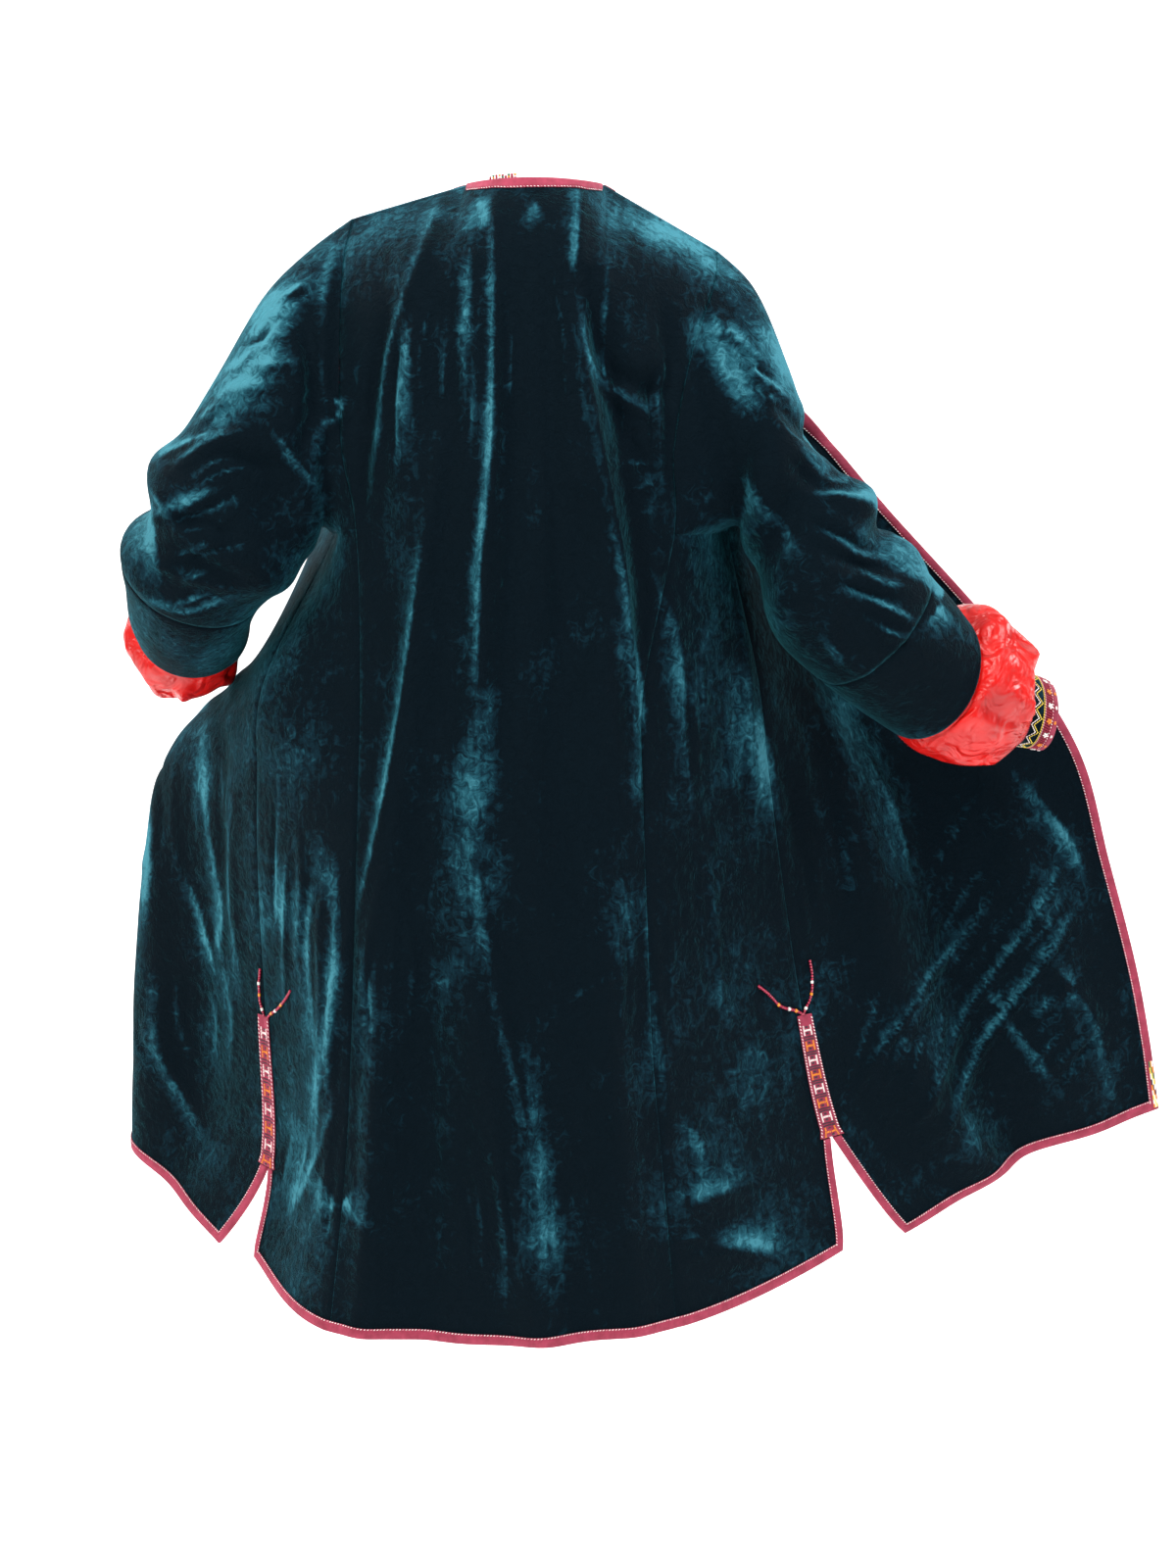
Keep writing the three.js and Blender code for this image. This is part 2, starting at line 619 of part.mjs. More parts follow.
// A wall over a grid, from low to high above its points.
function wall(name, material, grid, low, high) {
  const solid = new Solid();
  const rows = grid.points.length;
  const columns = grid.points[0].length;
  const lift = (r, c, away) => grid.points[r][c].clone().addScaledVector(grid.normals[r][c], away);
  const face = grid.facing > 0
    ? (a, b, c, d) => solid.quad(a, b, c, d)
    : (a, b, c, d) => solid.quad(d, c, b, a);
  const cells = grid.round ? columns : columns - 1;
  for (let r = 0; r < rows - 1; r += 1) {
    for (let c = 0; c < cells; c += 1) {
      const n = (c + 1) % columns;
      face(lift(r, c, high), lift(r, n, high), lift(r + 1, n, high), lift(r + 1, c, high));
      face(lift(r + 1, c, low), lift(r + 1, n, low), lift(r, n, low), lift(r, c, low));
    }
  }
  for (let c = 0; c < cells; c += 1) {
    const n = (c + 1) % columns;
    face(lift(0, c, low), lift(0, n, low), lift(0, n, high), lift(0, c, high));
    face(lift(rows - 1, c, high), lift(rows - 1, n, high), lift(rows - 1, n, low), lift(rows - 1, c, low));
  }
  if (!grid.round) {
    for (let r = 0; r < rows - 1; r += 1) {
      face(lift(r + 1, 0, low), lift(r, 0, low), lift(r, 0, high), lift(r + 1, 0, high));
      const e = columns - 1;
      face(lift(r, e, low), lift(r + 1, e, low), lift(r + 1, e, high), lift(r, e, high));
    }
  }
  return solid.mesh(name, material);
}

// The way past the edge at each station: square to the stretches before and after it, and mitred.
function waysOut(stations, round) {
  const count = stations.length;
  const stretch = (i) => {
    const here = stations[(i + count) % count];
    const next = stations[(i + 1 + count) % count];
    const along = next.edge.clone().sub(here.edge).normalize();
    const away = here.edge.clone().sub(here.inner);
    const out = along.cross(here.edgeNormal).normalize();
    return out.multiplyScalar(Math.sign(out.dot(away)) || 1);
  };
  return stations.map((_, i) => {
    const before = stretch(round || i > 0 ? i - 1 : i);
    const after = stretch(round || i < count - 1 ? i : i - 1);
    return before.clone().add(after).divideScalar(1 + before.dot(after));
  });
}

// Tape folded over a free edge. Each station has the edge's point and the point one tape width in,
// with their normals.
function binding(name, material, stations, { facing, thickness, round = false }) {
  const solid = new Solid();
  const near = thickness / 2 + SEAM_GAP;
  const far = near + TAPE;
  const past = SEAM_GAP + TAPE;
  const ways = waysOut(stations, round);
  const rings = stations.map(({ edge, inner, edgeNormal, innerNormal }, i) => {
    const atInner = (away) => inner.clone().addScaledVector(innerNormal, away);
    const atEdge = (away, beyond) => edge.clone().addScaledVector(edgeNormal, away).addScaledVector(ways[i], beyond);
    return [
      atInner(far), atEdge(far, past), atEdge(-far, past), atInner(-far),
      atInner(-near), atEdge(-near, SEAM_GAP), atEdge(near, SEAM_GAP), atInner(near),
    ];
  });
  const face = facing > 0
    ? (a, b, c, d) => solid.quad(a, b, c, d)
    : (a, b, c, d) => solid.quad(d, c, b, a);
  const spans = round ? rings.length : rings.length - 1;
  for (let i = 0; i < spans; i += 1) {
    const here = rings[i];
    const next = rings[(i + 1) % rings.length];
    here.forEach((point, k) => {
      const n = (k + 1) % here.length;
      face(point, here[n], next[n], next[k]);
    });
  }
  if (!round) {
    const leaves = [[0, 1, 6, 7], [1, 2, 5, 6], [2, 3, 4, 5]];
    const first = rings[0];
    const last = rings[rings.length - 1];
    for (const [a, b, c, d] of leaves) {
      face(first[d], first[c], first[b], first[a]);
      face(last[a], last[b], last[c], last[d]);
    }
  }
  return solid.mesh(name, material);
}

// A station of a binding at an edge point of a grid, with the point one tape width in.
function station(grid, [r, c], [innerRow, innerColumn]) {
  return {
    edge: grid.points[r][c],
    inner: grid.points[innerRow][innerColumn],
    edgeNormal: grid.normals[r][c],
    innerNormal: grid.normals[innerRow][innerColumn],
  };
}

// Draws the first and last stations of a binding in.
function trimEnds(stations, trim = SEAM_GAP) {
  const last = stations.length - 1;
  const ends = [[0, 1], [last, last - 1]];
  const moved = ends.map(([end, next]) => {
    const shift = (part) => {
      const way = stations[next][part].clone().sub(stations[end][part]).normalize();
      return stations[end][part].clone().addScaledVector(way, trim);
    };
    return { ...stations[end], edge: shift('edge'), inner: shift('inner') };
  });
  return [moved[0], ...stations.slice(1, last), moved[1]];
}

function frontBindingStations(front) {
  const last = front.points.length - 1;
  const end = front.points[0].length - 1;
  const slitRow = SKIRT_ROWS.indexOf(BOUND_SLIT) + YOKE_ROWS.length;
  const stations = [];
  for (let r = 0; r < last; r += 1) {
    stations.push(station(front, [r, 0], [r, 1]));
  }
  stations.push(station(front, [last, 0], [last - 1, 1]));
  for (let c = 1; c < end; c += 1) {
    stations.push(station(front, [last, c], [last - 1, c]));
  }
  stations.push(station(front, [last, end], [last - 1, end - 1]));
  for (let r = last - 1; r >= slitRow; r -= 1) {
    stations.push(station(front, [r, end], [r, end - 1]));
  }
  return trimEnds(stations);
}

function slitStations(gore) {
  const last = gore.points.length - 1;
  const end = gore.points[0].length - 1;
  const stations = [];
  for (let r = SKIRT_ROWS.indexOf(BOUND_SLIT); r < last; r += 1) {
    stations.push(station(gore, [r, end], [r, end - 1]));
  }
  stations.push(station(gore, [last, end], [last - 1, end - 1]));
  for (let c = end - 1; c > 0; c -= 1) {
    stations.push(station(gore, [last, c], [last - 1, c]));
  }
  return stations;
}

function backBindingStations(back, rightGore, leftGore) {
  const last = back.points.length - 1;
  const across = back.points[0].map((_, c) => station(back, [last, c], [last - 1, c]));
  return trimEnds([...slitStations(rightGore), ...across, ...slitStations(leftGore).reverse()]);
}

function neckBindingStations(back) {
  const middle = BACK_CELLS / 2;
  const stations = [];
  for (let c = middle - NECK_CELLS; c <= middle + NECK_CELLS; c += 1) {
    stations.push(station(back, [0, c], [1, c]));
  }
  return trimEnds(stations, NECK_TRIM);
}

function cuffTapeStations(band) {
  const last = band.points.length - 1;
  return band.points[last].map((_, c) => station(band, [last, c], [last - 1, c]));
}

// ---------------------------------------------------------------- side tabs and tassels

function tabGrid(half, gore, front) {
  const first = SKIRT_ROWS.indexOf(TAB_TOP);
  const last = SKIRT_ROWS.indexOf(SLIT_TOP);
  const points = [];
  const normals = [];
  for (let r = first; r <= last; r += 1) {
    const frontRow = r + YOKE_ROWS.length;
    const end = gore.points[0].length - 1;
    const frontEnd = front.points[0].length - 1;
    points.push([gore.points[r][end - 1], gore.points[r][end], front.points[frontRow][frontEnd - 1]]);
    normals.push([gore.normals[r][end - 1], gore.normals[r][end], front.normals[frontRow][frontEnd - 1]]);
  }
  return { points, normals, facing: half.sign, round: false };
}

// Two beaded strands in a Y from one head: each a four-sided tapering cord, fused in the head. They
// lie just off the cloth, one up the side seam and one up across the gore.
function tassel(name, material, half, gore) {
  const row = SKIRT_ROWS.indexOf(TAB_TOP);
  const end = gore.points[0].length - 1;
  const away = CLOTH / 2 + HEAD_WIDTH / 2 + 2 * SEAM_GAP;
  const spot = ([down, across]) => {
    const r = Math.floor(row + down);
    const c = Math.floor(end + across);
    const [fr, fc] = [row + down - r, end + across - c];
    const mix = (table) => {
      const near = table[r][c].clone().lerp(table[r][Math.min(c + 1, end)], fc);
      const below = table[r + 1][c].clone().lerp(table[r + 1][Math.min(c + 1, end)], fc);
      return near.lerp(below, fr);
    };
    return mix(gore.points).addScaledVector(mix(gore.normals).normalize(), away);
  };
  const solid = new Solid();
  const out = gore.normals[row][end - 1];
  const square = (centre, along, size) => {
    const side = along.clone().cross(out).normalize().multiplyScalar(size / 2);
    const lift = out.clone().multiplyScalar(size / 2);
    return [[1, 1], [-1, 1], [-1, -1], [1, -1]].map(([s, l]) => (
      centre.clone().addScaledVector(side, s).addScaledVector(lift, l)
    ));
  };
  const headCentre = spot(TASSEL.head);
  const [headDown, headAcross] = TASSEL.head;
  const up = spot([headDown - 0.5, headAcross]).sub(headCentre).normalize();
  const withMiddles = ([a, b, c, d]) => [a, a.clone().lerp(b, 0.5), b, c, c.clone().lerp(d, 0.5), d];
  const headAt = (share) => withMiddles(
    square(headCentre.clone().addScaledVector(up, HEAD_WIDTH * share), up, HEAD_WIDTH),
  );
  const bottom = headAt(-0.5);
  const top = headAt(0.5);
  const skin = (a, b) => a.forEach((point, k) => {
    const n = (k + 1) % a.length;
    solid.quad(a[n], b[n], b[k], point);
  });
  skin(top, bottom);
  solid.quad(bottom[0], bottom[1], bottom[4], bottom[5]);
  solid.quad(bottom[1], bottom[2], bottom[3], bottom[4]);
  const roots = [[top[0], top[1], top[4], top[5]], [top[1], top[2], top[3], top[4]]];
  const paths = half.sign > 0 ? [TASSEL.slanting, TASSEL.upright] : [TASSEL.upright, TASSEL.slanting];
  roots.forEach((root, i) => {
    const spots = paths[i].map(spot);
    let ring = root;
    spots.forEach((centre, k) => {
      const along = (spots[k + 1] ?? centre).clone().sub(spots[k - 1] ?? headCentre).normalize();
      const next = square(centre, along, STRAND_WIDTH);
      skin(next, ring);
      ring = next;
    });
    solid.quad(ring[3], ring[2], ring[1], ring[0]);
  });
  return solid.mesh(name, material);
}

// ---------------------------------------------------------------- the coat

const back = backGrid();
const pieces = {};
for (const [name, half] of Object.entries(HALVES)) {
  const gore = goreGrid(half);
  const front = frontGrid(half, FRONT_FOLDS[name]);
  const loop = armholeLoop(half, back, gore, front);
  const turns = loopTurns(loop);
  const { rings, satin: satinRings, band: bandRings } = SLEEVES[name];
  const whole = sleeveGrid(half, rings, loop, turns, SLEEVE_CREASES[name]);
  const seamRow = SLEEVE_STEPS.indexOf(PIECING_STEP) + 1;
  const sleeve = partOf(whole, 0, seamRow + 1);
  const end = partOf(whole, seamRow, whole.points.length);
  const band = tubeGrid(half, bandRings, BAND_STEPS, turns, []);
  pieces[name] = { half, gore, front, turns, sleeve, end, band, satinRings };
}

const body = [back];
for (const { half, gore, front, sleeve, end } of Object.values(pieces)) {
  shareShoulder(half, back, front);
  body.push(gore, front, sleeve, end);
}
shareNormals(body);

// The satin is caught inside the velvet, puffs out and is gathered on to the band.
function satinGrid({ half, turns, end, band, satinRings }) {
  const inside = -(CLOTH / 2 + SEAM_GAP + SATIN / 2);
  const outside = CLOTH / 2 + SEAM_GAP + SATIN / 2;
  const last = end.points.length - 1;
  const puff = tubeGrid(half, satinRings, [0, 0.5, 1, 1.5, 2], turns, []);
  const hem = slideRing(end, last, inside);
  const before = slideRing(end, last - 1, inside);
  const past = hem.map((point, c) => {
    const onward = point.clone().sub(before[c]).normalize();
    return point.clone().addScaledVector(onward, SATIN_CLEAR);
  });
  const rows = [
    before,
    hem,
    past,
    ...puff.points,
    slideRing(band, 1, outside),
  ];
  return makeGrid(rows, -half.sign, true);
}

const coat = new THREE.Group();
const thick = CLOTH / 2;
coat.add(wall('back_centre', velvet, pullBack(back, [
  { side: 'top', from: 0, to: 4 }, { side: 'top', from: BACK_CELLS - 4, to: BACK_CELLS },
  { side: 'start' }, { side: 'end' },
]), -thick, thick));
coat.add(binding('neck_binding', tape, neckBindingStations(back), { facing: 1, thickness: CLOTH }));
coat.add(binding('back_binding', tape, backBindingStations(back, pieces.right.gore, pieces.left.gore), {
  facing: -1, thickness: CLOTH,
}));

for (const [name, piece] of Object.entries(pieces)) {
  const { half, gore, front, sleeve, end, band } = piece;
  const slitRow = SKIRT_ROWS.indexOf(SLIT_TOP);
  coat.add(wall(`back_gore_${name}`, velvet, pullBack(gore, [
    { side: 'top' }, { side: 'start' }, { side: 'end', to: slitRow },
  ]), -thick, thick));
  coat.add(wall(`front_${name}`, velvet, pullBack(front, [
    { side: 'top' }, { side: 'end', to: slitRow + YOKE_ROWS.length },
  ]), -thick, thick));
  coat.add(wall(`sleeve_${name}`, velvet, pullBack(sleeve, [{ side: 'top' }, { side: 'bottom' }]), -thick, thick));
  coat.add(wall(`sleeve_end_${name}`, velvet, pullBack(end, [{ side: 'top' }]), -thick, thick));
  coat.add(wall(`cuff_satin_${name}`, satin, satinGrid(piece), -SATIN / 2, SATIN / 2));
  coat.add(wall(`cuff_band_${name}`, velvet, band, -thick, thick));
  coat.add(binding(`cuff_tape_${name}`, tape, cuffTapeStations(band), {
    facing: half.sign, thickness: CLOTH, round: true,
  }));
  coat.add(binding(`front_binding_${name}`, tape, frontBindingStations(front), {
    facing: half.sign, thickness: CLOTH,
  }));
  const tab = tabGrid(half, gore, front);
  const tabLow = thick + SEAM_GAP;
  coat.add(wall(`side_tab_${name}`, embroidery, tab, tabLow, tabLow + TAB_THICKNESS));
  coat.add(tassel(`side_tassel_${name}`, beads, half, gore));
}

export default coat;
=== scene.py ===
import math

import bpy
import numpy as np
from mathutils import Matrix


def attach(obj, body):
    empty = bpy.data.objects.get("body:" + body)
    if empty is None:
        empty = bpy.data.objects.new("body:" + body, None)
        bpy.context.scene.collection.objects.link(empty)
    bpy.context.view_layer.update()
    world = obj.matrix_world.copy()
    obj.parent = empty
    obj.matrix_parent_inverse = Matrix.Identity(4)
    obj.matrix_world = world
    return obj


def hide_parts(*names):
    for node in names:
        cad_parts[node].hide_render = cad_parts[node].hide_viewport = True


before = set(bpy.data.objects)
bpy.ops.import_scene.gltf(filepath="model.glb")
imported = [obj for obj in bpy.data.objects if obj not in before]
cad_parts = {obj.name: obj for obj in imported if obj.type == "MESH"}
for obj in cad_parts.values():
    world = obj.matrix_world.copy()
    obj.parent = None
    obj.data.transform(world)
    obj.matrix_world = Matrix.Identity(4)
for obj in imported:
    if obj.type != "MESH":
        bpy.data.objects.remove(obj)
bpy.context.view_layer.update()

# ------------------------------------------------------------------ Camera
# It stands behind the coat at the height of the shoulders, level with the middle of the back, and
# looks slightly down on it through a short telephoto lens.
CAMERA_PLACE = (-0.050, 2.600, -0.050)
CAMERA_PITCH_DOWN = 11.5
CAMERA_LENS_MM = 62.0
CAMERA_SENSOR_MM = 36.0

bpy.ops.object.select_all(action="DESELECT")
bpy.ops.object.camera_add(
    location=CAMERA_PLACE,
    rotation=(math.radians(90 - CAMERA_PITCH_DOWN), 0, math.radians(180)),
)
camera = bpy.context.object
camera.data.lens = CAMERA_LENS_MM
camera.data.sensor_width = CAMERA_SENSOR_MM
camera.data.sensor_fit = "AUTO"
camera.data.clip_end = 50
bpy.context.scene.camera = camera

# ------------------------------------------------------------------ Floor, backdrop and light
# A pale studio sweep of matt paper: the floor runs up behind the coat in one curve, so that no edge
# shows. Five soft boxes light the coat and the paper.
FLOOR_HEIGHT = -1.50
SWEEP_WIDTH = 14.0
SWEEP_FRONT = 6.0
SWEEP_BACK = -3.4
SWEEP_RADIUS = 1.6
SWEEP_RISE = 5.0  # above the curve
SWEEP_COLOUR = "#fbfbfb"
SWEEP_GLOW = 0.55  # keeps the paper white round the dark coat
ROOM_LIGHT = 0.30


def linear(hex_colour):
    """A sRGB hex colour as linear red, green, blue and alpha."""
    parts = [int(hex_colour[i : i + 2], 16) / 255 for i in (1, 3, 5)]
    return [p / 12.92 if p <= 0.04045 else ((p + 0.055) / 1.055) ** 2.4 for p in parts] + [1.0]


def add_node(material, kind, settings=None, inputs=None):
    """Adds a node, sets its properties, and sets or links its inputs."""
    node = material.node_tree.nodes.new(kind)
    for name, value in (settings or {}).items():
        setattr(node, name, value)
    for name, value in (inputs or {}).items():
        if isinstance(value, bpy.types.NodeSocket):
            material.node_tree.links.new(value, node.inputs[name])
        else:
            node.inputs[name].default_value = value
    return node


def new_material(name):
    """A material with its node tree emptied, ready for nodes."""
    material = bpy.data.materials.new(name)
    material.use_nodes = True
    material.node_tree.nodes.clear()
    return material


def finish_material(material, shader):
    """Joins the shader to the material's output."""
    output = add_node(material, "ShaderNodeOutputMaterial")
    material.node_tree.links.new(shader.outputs[0], output.inputs["Surface"])


paper = new_material("studio_paper")
finish_material(paper, add_node(paper, "ShaderNodeBsdfPrincipled", inputs={
    "Base Color": linear(SWEEP_COLOUR), "Roughness": 0.9,
    "Emission Color": linear(SWEEP_COLOUR), "Emission Strength": SWEEP_GLOW,
}))

bpy.ops.object.select_all(action="DESELECT")
bpy.ops.mesh.primitive_grid_add(x_subdivisions=2, y_subdivisions=60, size=2)
sweep = bpy.context.object
sweep.name = "studio_sweep"
floor_length = SWEEP_FRONT - SWEEP_BACK
arc_length = SWEEP_RADIUS * math.pi / 2
for vertex in sweep.data.vertices:
    travel = (1 - vertex.co.y) / 2 * (floor_length + arc_length + SWEEP_RISE)
    turn = min(max((travel - floor_length) / SWEEP_RADIUS, 0), math.pi / 2)
    rise = max(travel - floor_length - arc_length, 0)
    y = SWEEP_FRONT - min(travel, floor_length) - SWEEP_RADIUS * math.sin(turn)
    z = FLOOR_HEIGHT + SWEEP_RADIUS * (1 - math.cos(turn)) + rise
    vertex.co = (vertex.co.x * SWEEP_WIDTH / 2, y, z)
bpy.ops.object.shade_smooth()
sweep.data.materials.append(paper)

# Soft boxes: name, place, size, watts and colour. Each faces the middle of the coat.
LIGHT_TARGET = (0.0, 0.0, -0.55)
SOFT_BOXES = [
    ("key_softbox", (2.3, 2.1, 1.7), 0.9, 120, "#fffaf4"),
    ("fill_softbox", (-2.6, 2.2, 0.4), 1.6, 34, "#f2f6ff"),
    ("top_softbox", (-0.5, 0.9, 1.9), 1.0, 60, "#ffffff"),
    ("backdrop_softbox_left", (2.4, -1.2, 1.2), 1.6, 80, "#ffffff"),
    ("backdrop_softbox_right", (-2.6, -1.0, 1.2), 1.6, 80, "#ffffff"),
]
for name, place, size, watts, colour in SOFT_BOXES:
    towards = [t - p for t, p in zip(LIGHT_TARGET, place)]
    yaw = math.atan2(towards[0], -towards[1])
    tilt = math.atan2(math.hypot(towards[0], towards[1]), -towards[2])
    bpy.ops.object.light_add(type="AREA", location=place, rotation=(tilt, 0, yaw + math.pi))
    light = bpy.context.object
    light.name = name
    light.data.shape = "DISK"
    light.data.size = size
    light.data.energy = watts
    light.data.color = linear(colour)[:3]

bpy.context.scene.view_settings.view_transform = "Standard"
world = bpy.data.worlds.new("studio_air")
bpy.context.scene.world = world
world.use_nodes = True
air = world.node_tree.nodes["Background"]
air.inputs["Color"].default_value = linear("#ffffff")
air.inputs["Strength"].default_value = ROOM_LIGHT

# ------------------------------------------------------------------ Velvet and its lining
# Silk velvet, woven with a cut pile and worn until it is crushed in streaks and patches. Where the
# pile stands it drinks the light and looks nearly black; where it lies flat it is a bright teal.
# Seen edge on it shines teal partly through the shader's own sheen and partly through painted sheen
# in its colour, and its upper faces and crease flanks carry painted light and shade. The lining is
# a red satin.
VELVET_DEEP = "#030e15"
VELVET_MID = "#0a2530"
VELVET_CRUSHED = "#1c4b58"
VELVET_SHINE = "#3b7886"
VELVET_SHEEN = "#3a97a4"
PILE_MM = 1.6  # the pile is finer than this, and is drawn as coarse as it needs to show
CRUMPLE_MM, CRUMPLE_DEPTH_MM = 11.0, 4.5
PATCH_MM = 95.0
STREAK_MM = (7.0, 55.0)  # across and along the cloth
# The tones also sum painted light: painted sheen, painted top light and the creases' painted flank
# light and shade.
TONES = (1.24, 1.92)  # all that pales the pile, summed, where it is deepest and where brightest


def per_metre(size_mm):
    """A noise scale whose features are about this many millimetres, on coordinates in metres."""
    return 1000.0 / size_mm


def make_velvet():
    """Cut silk pile: nearly black where it stands, teal where it is crushed, with painted sheen
    where it turns aside from the back, painted top light, and painted light and shade on the
    creases' flanks.
    """
    velvet = new_material("crushed_silk_velvet")
    place = add_node(velvet, "ShaderNodeTexCoord")
    cloth = add_node(velvet, "ShaderNodeUVMap", {"uv_map": "UVMap"})
    # The crease attribute: crushed pile, with painted flank light and shade.
    nap = add_node(velvet, "ShaderNodeAttribute", {"attribute_name": "nap"})
    across, along = STREAK_MM
    stretched = add_node(velvet, "ShaderNodeMapping", inputs={
        "Vector": cloth.outputs["UV"], "Scale": (per_metre(across), per_metre(along), 1),
    })
    # Each noise: what it lies on, its scale, detail, roughness and distortion.
    patches, streaks, crumple, pile = (
        add_node(velvet, "ShaderNodeTexNoise", inputs={
            "Vector": lies_on, "Scale": scale, "Detail": detail, "Roughness": rough,
            "Distortion": bent,
        }).outputs["Fac"]
        for lies_on, scale, detail, rough, bent in (
            (place.outputs["Object"], per_metre(PATCH_MM), 4.0, 0.55, 0.0),
            (stretched.outputs["Vector"], 1.0, 6.0, 0.62, 0.5),
            (place.outputs["Object"], per_metre(CRUMPLE_MM), 7.0, 0.66, 1.4),
            (place.outputs["Object"], per_metre(PILE_MM), 2.0, 0.5, 0.0),
        )
    )
    # Painted sheen: the colour is made paler where the cloth turns aside from square to the back,
    # as the pile looks seen edge on from behind.
    facing = add_node(velvet, "ShaderNodeSeparateXYZ", inputs={"Vector": place.outputs["Normal"]})
    turned = add_node(velvet, "ShaderNodeMath", {"operation": "MULTIPLY"}, {
        0: facing.outputs["Y"], 1: facing.outputs["Y"],
    })
    aside = add_node(velvet, "ShaderNodeMath", {"operation": "SUBTRACT"}, {
        0: 1.0, 1: turned.outputs["Value"],
    })
    # Worn places, where the cloth is crushed and in patches, cut up by streaks and crumples, summed
    # with painted light: the crease attribute's painted flank light and shade, the painted sheen
    # where the cloth turns aside, and a little painted top light where it faces up.
    tone = patches
    for source, weight in (
        (nap.outputs["Fac"], 0.70), (streaks, 0.34), (crumple, 0.95),
        (aside.outputs["Value"], 0.28), (facing.outputs["Z"], 0.06), (pile, 0.08),
    ):
        tone = add_node(velvet, "ShaderNodeMath", {"operation": "MULTIPLY_ADD"}, {
            0: source, 1: weight, 2: tone,
        }).outputs["Value"]
    spread = add_node(velvet, "ShaderNodeMapRange", inputs={
        "Value": tone, "From Min": TONES[0], "From Max": TONES[1], "To Min": 0.0, "To Max": 1.0,
    })
    colour = add_node(velvet, "ShaderNodeValToRGB", inputs={"Fac": spread.outputs["Result"]})
    ramp = colour.color_ramp
    ramp.elements[0].position = 0.10
    ramp.elements[0].color = linear(VELVET_DEEP)
    ramp.elements[1].position = 0.36
    ramp.elements[1].color = linear(VELVET_MID)
    for position, shade in ((0.62, VELVET_CRUSHED), (0.92, VELVET_SHINE)):
        ramp.elements.new(position).color = linear(shade)
    relief = add_node(velvet, "ShaderNodeMath", {"operation": "MULTIPLY_ADD"}, {
        0: pile, 1: 0.12, 2: crumple,
    })
    bump = add_node(velvet, "ShaderNodeBump", inputs={
        "Height": relief.outputs["Value"], "Strength": 0.8, "Distance": CRUMPLE_DEPTH_MM / 1000,
    })
    finish_material(velvet, add_node(velvet, "ShaderNodeBsdfPrincipled", inputs={
        "Base Color": colour.outputs["Color"], "Roughness": 0.8, "Specular IOR Level": 0.04,
        "Sheen Weight": 0.45, "Sheen Roughness": 0.16, "Sheen Tint": linear(VELVET_SHEEN),
        "Normal": bump.outputs["Normal"],
    }))
    return velvet


SATIN_RED = "#cc120c"
SATIN_SHADE = "#a20a08"
SATIN_THREAD_MM = (0.5, 12)  # across and along; drawn a little coarser than the real thread
SATIN_SHADE_MM = 45


def make_satin(name, crinkle_mm, depth_mm):
    """Polyester satin: a smooth, long-floated weave, bright red, glossy, and crinkled."""
    satin = new_material(name)
    cloth = add_node(satin, "ShaderNodeUVMap", {"uv_map": "UVMap"})
    place = add_node(satin, "ShaderNodeTexCoord")
    tone = add_node(satin, "ShaderNodeTexNoise", inputs={
        "Vector": place.outputs["Object"], "Scale": per_metre(SATIN_SHADE_MM), "Detail": 3.0,
    })
    colour = add_node(satin, "ShaderNodeValToRGB", inputs={"Fac": tone.outputs["Fac"]})
    colour.color_ramp.elements[0].position = 0.3
    colour.color_ramp.elements[0].color = linear(SATIN_SHADE)
    colour.color_ramp.elements[1].position = 0.62
    colour.color_ramp.elements[1].color = linear(SATIN_RED)
    across, along = SATIN_THREAD_MM
    threads = add_node(satin, "ShaderNodeMapping", inputs={
        "Vector": cloth.outputs["UV"], "Scale": (per_metre(across), per_metre(along), 1),
    })
    weave = add_node(satin, "ShaderNodeTexNoise", inputs={
        "Vector": threads.outputs["Vector"], "Scale": 1.0,
    })
    crinkle = add_node(satin, "ShaderNodeTexNoise", inputs={
        "Vector": place.outputs["Object"], "Scale": per_metre(crinkle_mm), "Detail": 2.0,
        "Distortion": 1.2,
    })
    relief = add_node(satin, "ShaderNodeMath", {"operation": "MULTIPLY_ADD"}, {
        0: weave.outputs["Fac"], 1: 0.02, 2: crinkle.outputs["Fac"],
    })
    bump = add_node(satin, "ShaderNodeBump", inputs={
        "Height": relief.outputs["Value"], "Strength": 0.9, "Distance": depth_mm / 1000,
    })
    finish_material(satin, add_node(satin, "ShaderNodeBsdfPrincipled", inputs={
        "Base Color": colour.outputs["Color"], "Roughness": 0.27, "Anisotropic": 0.4,
        "Specular IOR Level": 0.4, "Normal": bump.outputs["Normal"],
    }))
    return satin


velvet = make_velvet()
# The lining lies nearly smooth, and the same satin is crinkled where it puffs out at the cuffs.
satin = make_satin("red_satin_lining", 70, 3)
puffed_satin = make_satin("red_satin_puffed", 30, 11)

# ------------------------------------------------------------------ The back panel
# One loom width of velvet lined with satin, hung from the shoulders straight down to the hem. It is
# cut square; its soft folds come from hanging over the shoulder blades and from being sat on.
MM = 0.001
CLOTH = 2.0 * MM  # velvet and lining together
SEAM_GAP = 0.3 * MM
SEAM_DEPTH, SEAM_BREADTH = 1.2 * MM, 3.0 * MM  # of the dent that the stitches pull
SEAM_CALM = 9.0 * MM  # how far from a seam the creases come to their full height
SEAM_STEPS = np.array([0, 1.2, 2.6, 4.6, 8.0]) * MM  # the fine rows of faces beside a seam
BACK_COLUMNS, BACK_ROWS = 108, 300
BACK_WIDTH, BACK_HALF_WIDTH = 0.34, 0.16  # over its folds, and flat from the middle to a seam
UNDERARM_EASE = 0.35  # how many levels from the underarm the seams begin to pull again
FIRST_LEVEL_LENGTH = 0.06  # from the shoulder seam down to the first level

